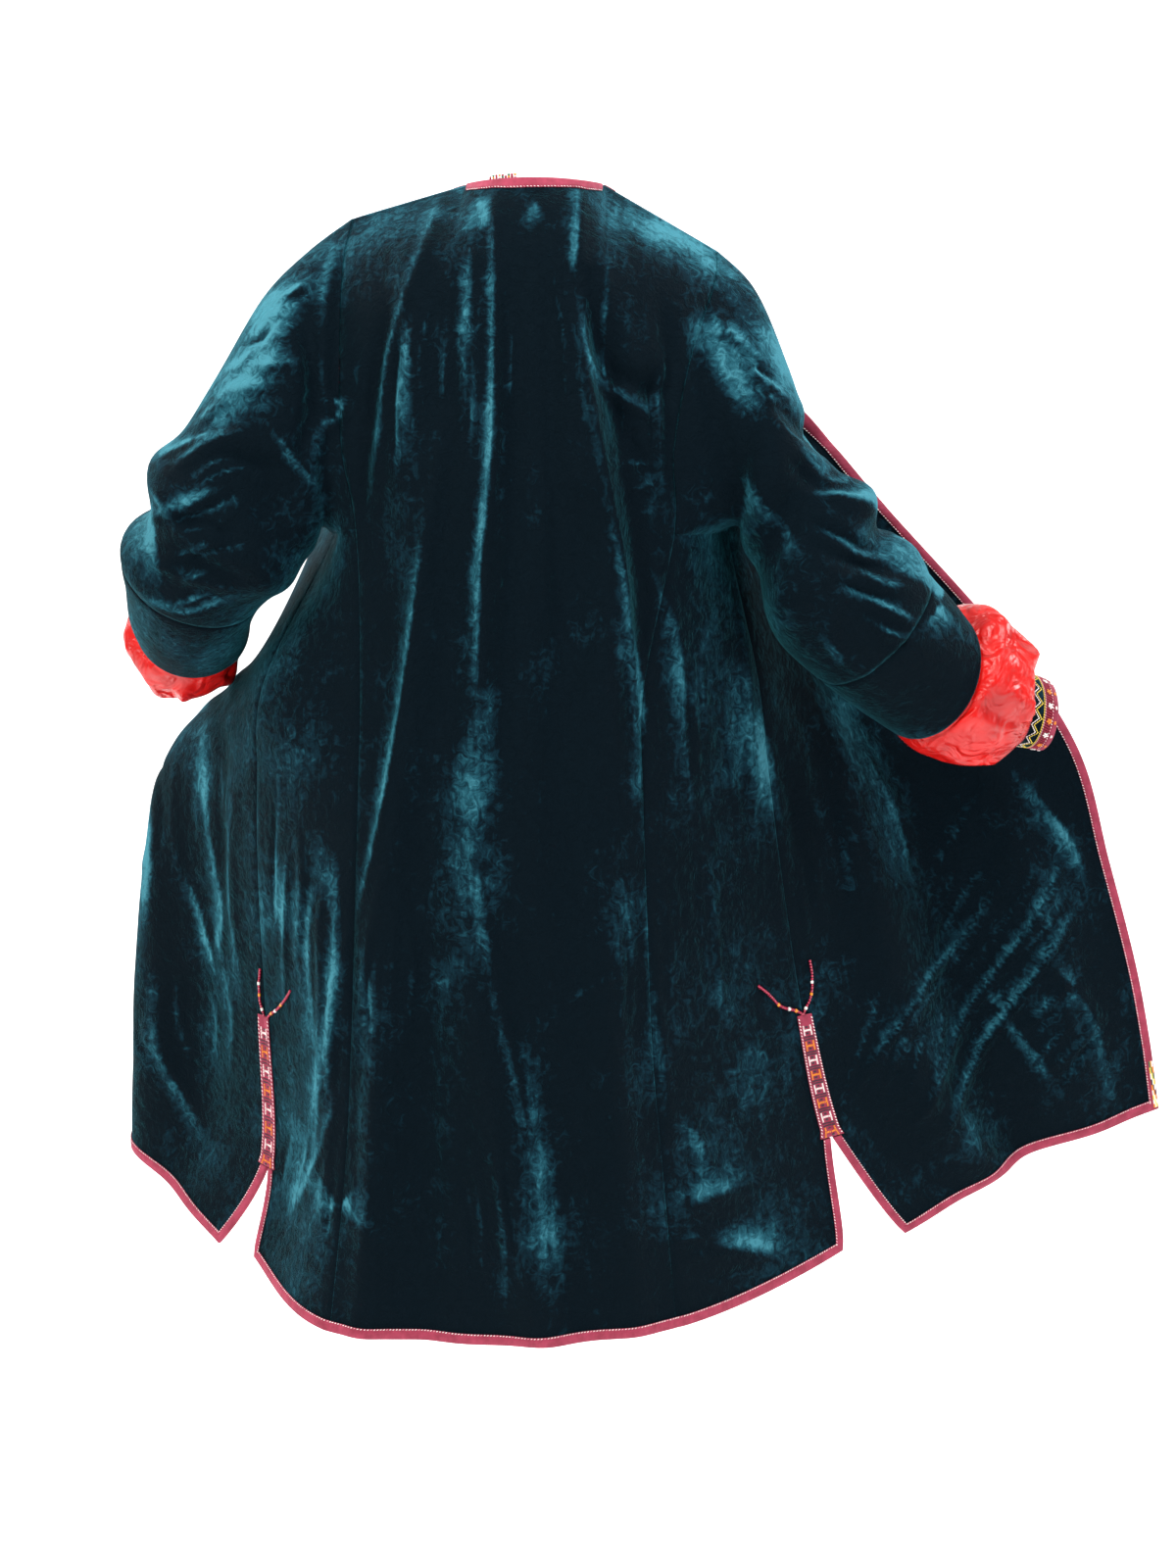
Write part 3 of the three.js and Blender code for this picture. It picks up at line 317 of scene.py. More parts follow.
# Levels down the middle of the back: across, behind and up, in millimetres.
LEVELS = [
    (0, 55, 0), (5, 98, -60), (10, 124, -150), (14, 130, -240), (20, 132, -330), (33, 135, -470),
    (35, 142, -570), (36, 150, -680), (36, 155, -820), (35, 158, -935), (34, 160, -1096),
]
SHOULDER, UNDERARM, SLIT_TOP, HEM = 0, 4, 9, 10
NECK_SIDE = (65, -10, -5)
NECK_DEPTH = 65

# Each half's lines at those levels: the back panel's seam, the side seam (above the underarm the
# front of the armhole), the middle of the front and its open edge, as out, behind and up. The slit
# spreads by so much out and behind at the hem.
HALVES = {
    "right": {
        "sign": -1,
        "slit_spread": (35, -25),
        "seam": [
            (172, -5, -66), (168, 42, -95), (146, 74, -158), (130, 86, -245),
            (130, 84, -325), (102, 100, -470), (102, 108, -570), (106, 113, -680),
            (112, 119, -820), (122, 124, -933), (136, 133, -1090),
        ],
        "side": [
            (172, -5, -66), (172, -34, -98), (172, -52, -158), (174, -52, -242),
            (184, -8, -330), (215, 0, -470), (228, 0, -570), (243, 0, -680),
            (266, 0, -820), (293, -2, -935), (341, -5, -1055),
        ],
        "mid": [
            (118.5, -7.5, -35.5), (138, -74, -84), (170, -92, -154), (205, -98, -232),
            (238, -104, -322), (305, -122, -468), (370, -120, -570), (410, -100, -682),
            (442, -90, -808), (469, -90, -908), (497, -98, -1003),
        ],
        "edge": [
            (65, -10, -5), (92, -86, -68), (160, -124, -148), (256, -120, -216),
            (348, -130, -318), (478, -142, -460), (556, -146, -572), (592, -144, -690),
            (624, -146, -800), (643, -148, -885), (656, -150, -961),
        ],
    },
    "left": {
        "sign": 1,
        "slit_spread": (21, -20),
        "seam": [
            (172, -5, -36), (178, 42, -78), (180, 72, -152), (179, 82, -243),
            (166, 84, -325), (164, 98, -470), (167, 108, -570), (171, 115, -680),
            (177, 120, -820), (184, 126, -935), (200, 143, -1090),
        ],
        "side": [
            (172, -5, -36), (176, -32, -80), (176, -50, -152), (180, -50, -240),
            (192, 0, -330), (262, 28, -470), (272, 25, -570), (274, 20, -680),
            (272, 5, -820), (272, 0, -966), (307, 0, -1062),
        ],
        "mid": [
            (118.5, -7.5, -20.5), (140, -74, -78), (158, -106, -152), (188, -112, -240),
            (214, -105, -330), (283, -116, -466), (374, -150, -566), (402, -150, -675),
            (418, -150, -805), (424, -150, -905), (426, -150, -1000),
        ],
        "edge": [
            (65, -10, -5), (92, -88, -68), (130, -132, -150), (172, -168, -238),
            (212, -196, -330), (270, -226, -460), (300, -246, -560), (325, -262, -665),
            (342, -272, -790), (352, -278, -890), (360, -280, -996),
        ],
    },
}

# Soft ridges and troughs: levels from and to, place across at the start, middle and end, half
# breadth in parts of the panel, and height in millimetres.
BACK_FOLDS = [
    (1.0, 8.2, (0.16, 0.15, 0.12), 0.13, 10),
    (7.4, 10.6, (0.12, -0.08, -0.38), 0.16, 14),
    (1.0, 4.2, (0.32, 0.33, 0.38), 0.10, 7),
    (0.8, 4.4, (0.60, 0.62, 0.70), 0.11, 9),
    (0.2, 6.4, (-0.22, -0.52, -0.98), 0.15, 13),
    (1.2, 3.4, (-0.30, -0.52, -0.86), 0.10, -12),
    (2.6, 7.8, (0.46, 0.62, 1.00), 0.12, 13),
    (3.4, 7.2, (-0.40, -0.42, -0.50), 0.16, -9),
    (5.6, 10.6, (0.52, 0.50, 0.42), 0.16, -12),
    (6.2, 10.6, (-0.72, -0.74, -0.80), 0.15, 12),
    (7.2, 10.6, (0.80, 0.82, 0.84), 0.12, 14),
]

# Creases and crushed places on the side that faces back, as across and up in millimetres along
# each, then its half breadth, height and how far its pile is crushed, which also sets how strongly
# its flanks are painted light and shade. A height of 0 is a crushed patch, and a crush below 0 is a
# valley painted dark: painted shade along its trough.
BEHIND = [
    ([(35, -15), (33, -92), (34, -222), (46, -367), (50, -549)], 6, 5.1, 0.85),
    ([(55, -595), (37, -735), (19, -820), (1, -916), (-17, -1059)], 8, 5.1, 0.60),
    ([(43, -449), (52, -531), (58, -623)], 11, 0, 0.62),
    ([(12, -783), (-2, -917), (-13, -1034)], 11, 0, 0.55),
    ([(54, -59), (54, -146), (54, -225)], 8, 2.7, 0.60),
    ([(108, -81), (108, -147), (106, -226)], 14, 2.5, 0.70),
    ([(88, -24), (108, -93), (132, -171), (150, -303)], 7, 5.8, 0.80),
    ([(82, -235), (96, -333), (110, -427), (125, -515), (139, -580), (158, -653), (181, -723)],
     5, 4.4, 0.55),
    ([(187, -634), (183, -709), (190, -796), (198, -895)], 13, 2.5, 0.85),
    ([(207, -656), (216, -736), (206, -840)], 12, 2, 0.70),
    ([(216, -932), (191, -968), (157, -990)], 15, 1.7, 0.60),
    ([(168, -706), (189, -777), (206, -869), (212, -949)], 9, 3.7, 0.70),
    ([(-40, -11), (-40, -103)], 7, 2.7, 0.90),
    ([(-33, -107), (-59, -248), (-80, -370), (-91, -464), (-101, -585)], 4.5, 5.4, 0.75),
    ([(-44, -107), (-48, -153), (-70, -186), (-90, -202), (-110, -214)], 6, 4.1, 0.80),
    ([(40, -15), (35, -46)], 14, 2, 0.85),
    ([(-1, -20), (-14, -37)], 16, 2, 0.70),
    ([(-86, -407), (-105, -484), (-96, -584)], 10, 1.4, 0.75),
    ([(-100, -335), (-133, -412), (-143, -525), (-153, -593)], 9, 2.7, 0.60),
    ([(-106, -670), (-117, -785), (-130, -902)], 6, 2.7, 0.40),
    ([(-145, -972), (-204, -968)], 17, 1.7, 0.70),
    ([(-165, -1015), (-235, -1042)], 13, 2.4, 0.70),
    ([(-63, -252), (-86, -259), (-109, -257)], 3, 1.9, 0.60),
    ([(-65, -279), (-91, -280), (-111, -275)], 3, 2, 0.50),
    ([(-61, -305), (-86, -308), (-112, -300)], 3, 1.7, 0.55),
    ([(-106, -165), (-108, -192), (-104, -214)], 9, -5.1, 0.0),
    ([(1, -793), (-50, -748), (-87, -733)], 4, 1.7, 0.30),
    ([(-145, -877), (-164, -929), (-184, -972)], 6, 2.7, 0.60),
    ([(241, -1001), (207, -927), (191, -864)], 6, 3.1, 0.60),
    ([(-201, -401), (-205, -479), (-211, -615)], 7, 4.1, 0.45),
    ([(-217, -500), (-233, -560), (-244, -620)], 15, 2.7, 0.85),
    ([(-548, -679), (-496, -766), (-430, -865), (-381, -945)], 6, 4.1, 0.60),
    ([(-560, -740), (-507, -808), (-458, -889), (-413, -949)], 7, 3.7, 0.85),
    ([(-475, -705), (-440, -766), (-390, -806), (-338, -869), (-315, -922)], 6, 4.4, 0.60),
    ([(-419, -804), (-379, -833), (-349, -900)], 5, 3.4, 0.60),
    ([(-457, -818), (-499, -861), (-543, -927)], 9, 3.1, 0.80),
    ([(-495, -596), (-548, -659), (-571, -711)], 10, 2.7, 0.65),
    ([(-328, -567), (-371, -632), (-381, -699)], 13, 3.1, 0.45),
    ([(-518, -788), (-572, -844), (-597, -910)], 10, 3.1, 0.65),
    ([(-243, -487), (-275, -548), (-295, -637)], 12, -5.1, 0.0),
    ([(331, -536), (336, -622), (321, -719), (329, -764)], 9, 3.4, 0.95),
    ([(395, -560), (389, -653), (397, -767)], 11, 3.4, 0.85),
    ([(298, -581), (307, -683), (299, -774)], 7, 3.1, 0.60),
    ([(392, -808), (390, -893), (358, -961)], 9, 3.1, 0.70),
    ([(361, -699), (346, -748), (336, -782)], 6, 3.1, 0.80),
    ([(186, -74), (194, -139), (192, -196), (176, -213), (198, -229), (206, -255)], 7, 5.1, 0.70),
    ([(266, -171), (238, -174), (213, -167)], 5, 3.7, 0.75),
    ([(242, -221), (222, -250), (203, -276)], 5, 4.1, 0.75),
    ([(300, -211), (276, -193), (243, -192)], 6, 4.4, 0.85),
    ([(332, -265), (299, -241), (257, -227)], 6, 5.1, 0.85),
    ([(364, -312), (322, -299), (289, -281)], 6, 5.1, 0.80),
    ([(375, -340), (329, -360), (280, -374)], 5, 4.4, 0.70),
    ([(348, -284), (327, -318)], 5, 4.4, 0.80),
    ([(235, -100), (241, -122), (262, -150)], 16, 0, 0.70),
    ([(230, -148), (266, -192), (304, -229)], 16, 0, 0.80),
    ([(353, -293), (353, -338), (336, -374)], 14, 1.7, 0.85),
    ([(367, -386), (329, -399), (286, -384)], 8, 2.4, 0.90),
    ([(-105, -33), (-151, -60), (-188, -96)], 12, 0, 0.60),
    ([(-140, -121), (-186, -175), (-204, -229)], 13, 0, 0.60),
    ([(-215, -130), (-240, -177), (-276, -253)], 12, 0, 0.65),
    ([(-196, -256), (-223, -301), (-251, -337)], 12, 2.7, 0.45),
    ([(-232, -238), (-261, -266), (-279, -284)], 7, 5.4, 0.80),
    ([(-270, -284), (-298, -302), (-340, -320)], 7, 5.8, 0.85),
    ([(-260, -310), (-297, -333), (-337, -341)], 6, -5.4, 0.30),
    ([(-317, -348), (-366, -378), (-407, -419)], 14, 2, 0.80),
    ([(-288, -373), (-280, -421), (-330, -472)], 8, 2.7, 0.50),
    ([(-50, -90), (-76, -250), (-97, -372), (-108, -480)], 9, -5.0, -0.45),
    ([(-62, -116), (-74, -166), (-98, -186), (-130, -196)], 10, -7.0, -0.50),
    ([(-118, -110), (-126, -180), (-128, -290)], 9, -6.0, -0.45),
    ([(126, -110), (148, -200), (163, -310)], 10, -7.0, -0.50),
    ([(98, -50), (116, -130), (138, -240)], 8, -5.0, -0.40),
    ([(70, -90), (72, -230), (88, -380)], 8, -4.0, -0.35),
    ([(20, -60), (18, -230), (26, -420), (30, -560)], 9, -4.5, -0.35),
    ([(-14, -70), (-18, -240), (-24, -420)], 8, -3.5, -0.30),
    ([(214, -110), (206, -190), (218, -262)], 9, -7.0, -0.50),
    ([(290, -250), (262, -254), (232, -262)], 8, -6.0, -0.45),
    ([(352, -304), (312, -310), (272, -326)], 8, -6.0, -0.45),
    ([(330, -336), (300, -352), (268, -360)], 7, -5.0, -0.40),
    ([(-150, -150), (-172, -230), (-196, -300)], 9, -6.5, -0.45),
    ([(-244, -258), (-274, -282), (-304, -290)], 8, -6.0, -0.50),
    ([(-250, -326), (-300, -350), (-350, -362)], 8, -6.0, -0.45),
    ([(-224, -210), (-262, -240), (-300, -262)], 8, -5.0, -0.40),
    ([(-226, -520), (-250, -600), (-266, -700)], 11, -5.0, -0.40),
    ([(314, -540), (322, -640), (316, -760)], 9, -5.0, -0.40),
]

# The side that faces forward is creased alike, from the same wear, and its creases' flanks get the
# same painted light and shade.
AHEAD = [
    ([(-120, -110), (-190, -170), (-262, -220)], 7, 4.1, 0.6),
    ([(-150, -150), (-240, -260), (-330, -340)], 9, 3.4, 0.7),
    ([(-100, -80), (-128, -150), (-190, -240)], 8, 3.7, 0.6),
    ([(120, -90), (138, -180), (176, -280)], 8, 4.1, 0.7),
    ([(150, -110), (160, -210), (196, -330)], 7, 3.4, 0.6),
    ([(205, -150), (240, -190), (300, -215)], 6, 4.4, 0.8),
    ([(214, -230), (262, -262), (330, -280)], 6, 4.4, 0.7),
    ([(240, -300), (290, -330), (356, -345)], 6, 4.1, 0.8),
    ([(230, -110), (280, -170), (330, -240)], 14, 0, 0.8),
    ([(-200, -130), (-240, -200), (-290, -280)], 14, 0, 0.8),
    ([(-210, -240), (-262, -300), (-300, -380)], 7, 4.1, 0.7),
    ([(-250, -290), (-310, -330), (-350, -350)], 6, -5.1, 0.3),
    ([(-300, -340), (-360, -400), (-390, -450)], 10, 2.7, 0.7),
    ([(330, -470), (345, -600), (338, -760)], 9, 3.4, 0.8),
    ([(300, -430), (312, -540), (330, -660)], 7, 3.1, 0.6),
]

# Sets of finer creases side by side: the first and the last of each, as above, how many there are,
# and their half breadth, height and crush.
FINE_BEHIND = [
    ([(-588, -680), (-425, -850)], [(-604, -850), (-500, -965)], 9, 3.6, 2.2, 0.50),
    ([(-470, -600), (-370, -790)], [(-575, -700), (-405, -965)], 8, 3.8, 2.4, 0.42),
    ([(-345, -790), (-300, -930)], [(-450, -800), (-400, -985)], 6, 3.8, 2.0, 0.45),
    ([(-250, -620), (-262, -760)], [(-360, -580), (-400, -720)], 6, 4.2, 2.6, 0.30),
    ([(118, -640), (128, -800)], [(205, -650), (214, -930)], 8, 3.8, 2.2, 0.40),
    ([(150, -900), (170, -1040)], [(232, -880), (262, -1020)], 6, 3.8, 2.0, 0.35),
    ([(-62, -600), (-72, -800)], [(-160, -600), (-185, -820)], 7, 3.6, 2.0, 0.34),
    ([(18, -70), (20, -240)], [(150, -80), (158, -280)], 8, 3.8, 2.4, 0.64),
    ([(-18, -50), (-40, -250)], [(-128, -90), (-120, -320)], 7, 3.8, 2.4, 0.58),
    ([(-140, -90), (-205, -160)], [(-210, -220), (-290, -270)], 8, 4.2, 3.0, 0.80),
    ([(-245, -270), (-325, -300)], [(-290, -400), (-380, -440)], 8, 4.4, 3.4, 0.72),
    ([(205, -90), (250, -120)], [(280, -220), (345, -260)], 8, 4.2, 3.0, 0.80),
    ([(240, -240), (340, -280)], [(278, -370), (372, -400)], 8, 4.4, 3.4, 0.72),
    ([(300, -500), (312, -690)], [(405, -540), (398, -760)], 7, 3.8, 2.4, 0.45),
    ([(320, -780), (316, -900)], [(412, -790), (402, -930)], 6, 3.6, 2.0, 0.40),
    ([(-95, -950), (-190, -975)], [(-120, -1045), (-240, -1050)], 6, 3.6, 1.8, 0.35),
    ([(-8, -860), (-20, -1050)], [(80, -850), (60, -1060)], 6, 3.6, 2.0, 0.30),
    ([(-190, -480), (-215, -640)], [(-140, -420), (-150, -600)], 6, 3.8, 2.2, 0.34),
    ([(186, -640), (196, -800)], [(250, -560), (262, -800)], 6, 3.8, 2.2, 0.36),
]
FINE_AHEAD = [
    ([(-130, -130), (-180, -300)], [(-300, -260), (-420, -460)], 9, 4.2, 2.6, 0.45),
    ([(-150, -110), (-215, -170)], [(-220, -230), (-300, -280)], 8, 4.2, 3.0, 0.45),
    ([(-250, -280), (-330, -310)], [(-290, -400), (-380, -440)], 8, 4.4, 3.2, 0.45),
    ([(210, -100), (255, -130)], [(280, -230), (345, -270)], 8, 4.2, 3.0, 0.45),
    ([(242, -250), (340, -290)], [(278, -370), (372, -400)], 8, 4.4, 3.2, 0.45),
    ([(140, -140), (170, -330)], [(250, -500), (300, -800)], 9, 4.2, 2.6, 0.40),
    ([(-380, -600), (-400, -800)], [(-560, -640), (-580, -880)], 9, 4.0, 2.4, 0.45),
]


def fine_creases(sets, seed):
    """The sets' creases, unevenly spaced, bent and cut short, and as uneven in size. Every third
    one is a trough."""
    uneven = np.random.default_rng(seed)
    found = []
    for first, last, count, width, height, crushed in sets:
        first, last = np.array(first, dtype=float), np.array(last, dtype=float)
        for k in range(count):
            start, stop = first + (last - first) * (k + uneven.uniform(-0.35, 0.35)) / (count - 1)
            head, foot = uneven.uniform(0.0, 0.4), uneven.uniform(0.6, 1.0)
            middle = start + (stop - start) * (head + foot) / 2 + uneven.uniform(-7, 7, 2)
            path = [start + (stop - start) * head, middle, start + (stop - start) * foot]
            broad, tall, worn = uneven.uniform(0.55, 1.3, 3)
            way = -1 if k % 3 == 2 else 1
            found.append((path, width * (0.4 + 0.6 * broad), height * tall * way, crushed * worn))
    return found


BEHIND += fine_creases(FINE_BEHIND, 11)
AHEAD += fine_creases(FINE_AHEAD, 12)


def through(points, at):
    """A smooth curve through points[0], points[1] and so on, a unit of at for each step."""
    points = np.asarray(points, dtype=float)
    last = len(points) - 1
    i = np.clip(np.floor(at), 0, last - 1).astype(int)
    f = (at - i)[:, None]
    column = np.arange(len(at))
    before, here, there, after = (
        points[k] if points.ndim == 2 else points[k, column]
        for k in (np.maximum(i - 1, 0), i, i + 1, np.minimum(i + 2, last))
    )
    leave, arrive = (there - before) / 2, (after - here) / 2
    step = here + (there - here) * f * f * (3 - 2 * f)
    return step + leave * f * (1 - f) ** 2 - arrive * f * f * (1 - f)


def placed(half, points):
    """Points given as out, behind and up, put on their own side of the coat."""
    return np.asarray(points, dtype=float) * (half["sign"], 1, 1)


def neckline(across):
    """The top of the back panel: half an ellipse round the neck, then out along the shoulder."""
    points = np.zeros((len(across), 3))
    for half, mine in ((HALVES["right"], across < 0), (HALVES["left"], across >= 0)):
        shoulder, side = placed(half, half["seam"][SHOULDER]), placed(half, NECK_SIDE)
        neck_share = NECK_SIDE[0] / abs(shoulder[0])
        share = np.abs(across[mine])[:, None]
        turn = np.clip(share / neck_share, 0, 1)
        along = side + (shoulder - side) * (share - neck_share) / (1 - neck_share)
        lift = NECK_DEPTH * np.sqrt(1 - turn**2)
        round_neck = np.hstack([side[0] * turn, side[1] + lift, side[2] * turn**2])
        points[mine] = np.where(share > neck_share, along, round_neck)
    return points


def back_flat(across, level):
    """The back panel, -1 at its right edge to 1 at its left: an arch from seam to seam."""
    rows = [neckline(across)]
    for index, centre in enumerate(LEVELS[1:], start=1):
        right, left = (placed(half, half["seam"][index]) for half in HALVES.values())
        seam = np.where((across < 0)[:, None], right, left)
        share = np.abs(across)[:, None]
        rows.append(centre + (seam - centre) * np.hstack([share, share**2, share**2]))
    return through(np.array(rows), level) * MM


def swell(share):
    """How a fold rises from nothing at its start and dies out at its end."""
    return np.sin(np.pi * share) ** 0.6


def fold_height(folds, across, level):
    """How far the folds lift the cloth, in metres. A fold's middle line is a parabola."""
    height = np.zeros(len(across))
    for start_level, end_level, (start, middle, end), width, depth in folds:
        along = np.clip((level - start_level) / (end_level - start_level), 0, 1)
        ahead = 1 - along
        centre = start * ahead * (1 - 2 * along) + 4 * middle * along * ahead
        centre += end * along * (2 * along - 1)
        height += depth * swell(along) * np.exp(-(((across - centre) / width) ** 2))
    return height * MM


CREASE_REACH = 3.2  # half breadths from its middle line, past which a crease does nothing
CREASE_STEPS = 8  # straight runs that stand for each span of its line
# The crushed pile reaches further than the crease, and past a narrow ridge one flank is painted
# light and the other painted shade.
GLOW_BREADTH, RIDGE_BREADTH, FLANK_SHADE = 1.5, 0.3, 0.45


def creases(points, normals):
    """The creases' height at each point, in metres, and how far the pile is crushed there, with
    painted light on one flank of each crease and painted shade on the other and along the valleys.
    """
    height, nap, shade = (np.zeros(len(points)) for _ in range(3))
    for table, way in ((BEHIND, 1), (AHEAD, -1)):
        faces = np.clip(normals[:, 1] * way * 4 + 1, 0, 1)
        for path, width, depth, crushed in table:
            path = np.array(path) * MM
            reach = CREASE_REACH * width * MM
            low, high = path.min(axis=0) - reach, path.max(axis=0) + reach
            near = np.flatnonzero(
                (faces > 0) & (points[:, 0] > low[0]) & (points[:, 0] < high[0])
                & (points[:, 2] > low[1]) & (points[:, 2] < high[1])
            )
            if not len(near):
                continue
            seen = points[near][:, [0, 2]]
            spots = through(path, np.linspace(0, len(path) - 1, CREASE_STEPS * (len(path) - 1) + 1))
            gap = np.full(len(near), np.inf)
            place, flank = np.zeros(len(near)), np.zeros(len(near))
            for k in range(len(spots) - 1):
                run = spots[k + 1] - spots[k]
                share = np.clip(((seen - spots[k]) @ run) / (run @ run), 0, 1)
                from_line = seen - spots[k] - share[:, None] * run
                away = np.linalg.norm(from_line, axis=1)
                upper = np.array([-run[1], run[0]]) / np.linalg.norm(run)
                upper = upper * np.sign(upper.sum() + 1e-9)
                closer = away < gap
                gap[closer], place[closer] = away[closer], (k + share[closer]) / (len(spots) - 1)
                flank[closer] = (from_line @ upper)[closer]
            ends = swell(np.clip(place, 0.03, 0.97)) * faces[near]
            height[near] += depth * MM * ends * np.exp(-((gap / (width * MM)) ** 2))
            # Painted light and shade: the flank that faces up or to the left of the coat is painted
            # paler, as if lit, and the other one darker, as if in shade.
            crushed_pile_and_valley_shade = crushed * ends * np.exp(-((gap / (GLOW_BREADTH * width * MM)) ** 1.6))
            # A valley is painted shade along its trough.
            if crushed < 0:
                shade[near] = np.maximum(shade[near], -crushed_pile_and_valley_shade)
                continue
            side = flank * np.sign(depth) / (RIDGE_BREADTH * width * MM)
            lit = 0.5 + 0.5 * np.tanh(side) if depth else 1.0
            nap[near] = np.maximum(nap[near], crushed_pile_and_valley_shade * lit)
            shade[near] = np.maximum(shade[near], crushed_pile_and_valley_shade * (1 - lit) * FLANK_SHADE)
    return height, nap - shade


def unit(vectors):
    """The same directions, one long."""
    return vectors / np.maximum(np.linalg.norm(vectors, axis=1, keepdims=True), 1e-12)


def normals_of(surface, across, level, facing):
    """Which way surface(across, level) faces, out of the coat where facing is right."""
    nudge = 0.004
    sideways = surface(across + nudge, level) - surface(across - nudge, level)
    down = surface(across, level + nudge) - surface(across, level - nudge)
    return unit(np.cross(sideways, down)) * facing


def clear_of(distance):
    """0 on a seam and 1 well clear of it: creases die out at the seams, so that they stay shut."""
    return 1 - np.exp(-((distance / SEAM_CALM) ** 2))


def hang(flat, facing, height_at, free):
    """The cloth as a surface: flat's places, lifted by its folds and by as much of the creases as
    free lets stand, and with_nap_and_painted_light also how far its pile is crushed, with the
    creases' painted flank light and shade."""

    def surface(across, level, with_nap_and_painted_light=False):
        points = flat(across, level)
        out = normals_of(flat, across, level, facing)
        height, nap = creases(points, out)
        lift = height * free(across, level) + height_at(across, level)
        points = points + out * lift[:, None]
        return (points, nap) if with_nap_and_painted_light else points

    return surface


def seam_dip(distance):
    """The stitched seam pulls the cloth in: how far, at a distance from it in metres."""
    return -SEAM_DEPTH * np.exp(-((distance / SEAM_BREADTH) ** 2))


def away_from_underarm(level):
    """0 at the underarm, where three seams meet and none may pull, and 1 away from it."""
    return np.clip(np.abs(level - UNDERARM) / UNDERARM_EASE, 0, 1)


def with_margins(cells, width, ends=(True, True)):
    """Places across a panel: fine steps beside its seams, then even ones."""
    fine = SEAM_STEPS / width
    start = fine if ends[0] else np.array([0.0])
    stop = 1 - fine[::-1] if ends[1] else np.array([1.0])
    middle = np.linspace(start[-1], stop[0], cells + 1)[1:-1]
    return np.concatenate([start, middle, stop])


def levels_down(top, v):
    """Levels at equal steps down the middle of the back, from top, in millimetres, to the hem."""
    depths = [-z for _, _, z in LEVELS]
    return np.interp(top + v * (depths[HEM] - top), depths, range(len(LEVELS)))


def sew(name, surface, facing, shares, rows, size, place, closed=False):
    """Makes a piece of cloth: a grid of faces moved on to surface. place turns u and v into the
    surface's own measures, and size is the cloth's width and length in metres."""
    bpy.ops.object.select_all(action="DESELECT")
    bpy.ops.mesh.primitive_grid_add(x_subdivisions=len(shares) - 1, y_subdivisions=rows, size=2)
    piece = bpy.context.object
    piece.name = piece.data.name = name
    flat = np.empty(len(piece.data.vertices) * 3)
    piece.data.vertices.foreach_get("co", flat)
    u = np.interp((flat[0::3] + 1) / 2, np.linspace(0, 1, len(shares)), shares)
    points, nap = surface(*place(u, (1 - flat[1::3]) / 2), with_nap_and_painted_light=True)
    piece.data.vertices.foreach_set("co", points.ravel())
    # The attribute holds crushed pile and the creases' painted light and shade.
    piece.data.attributes.new("nap", "FLOAT", "POINT").data.foreach_set("value", nap)
    uv = np.empty(len(piece.data.loops) * 2)
    layer = piece.data.uv_layers["UVMap"].data
    layer.foreach_get("uv", uv)
    layer.foreach_set("uv", (uv.reshape(-1, 2) * size).ravel())
    bpy.ops.object.mode_set(mode="EDIT")
    bpy.ops.mesh.select_all(action="SELECT")
    if closed:
        bpy.ops.mesh.remove_doubles(threshold=0.05 * MM)
    if facing > 0:
        bpy.ops.mesh.flip_normals()
    bpy.ops.object.mode_set(mode="OBJECT")
    return piece


def finish_cloth(piece, outer, inner, thickness, slot, node, **cut):
    """Gives the cloth its thickness, with the lining inside, hangs it from the root and hides the
    part it replaces. slot, what it stands for, and cut, how it was cut, are not used."""
    piece.data.materials.append(outer)
    piece.data.materials.append(inner)
    wall = piece.modifiers.new("wall", "SOLIDIFY")
    wall.thickness = thickness
    wall.offset = 0
    wall.material_offset = 1
    bpy.ops.object.modifier_apply(modifier="wall")
    bpy.ops.object.shade_smooth()
    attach(piece, "root")
    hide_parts(node)


def from_back_seam(across):
    """How far it is to the nearer of the back panel's two seams, in metres."""
    return (1 - np.abs(across)) * BACK_HALF_WIDTH


back_surface = hang(
    back_flat, 1,
    lambda across, level: (
        fold_height(BACK_FOLDS, across, level) * (1 - np.abs(across) ** 8)
        + seam_dip(from_back_seam(across)) * away_from_underarm(level)
    ),
    lambda across, level: clear_of(from_back_seam(across)) * clear_of(level * FIRST_LEVEL_LENGTH),
)
back = sew(
    "velvet_back", back_surface, 1, with_margins(BACK_COLUMNS, BACK_WIDTH), BACK_ROWS, (0.36, 1.13),
    lambda u, v: (u * 2 - 1, levels_down(0, v)),
)
finish_cloth(
    back, velvet, satin, CLOTH, "velvet", "back_centre", flat=(0.36, 1.16), held="hung",
)

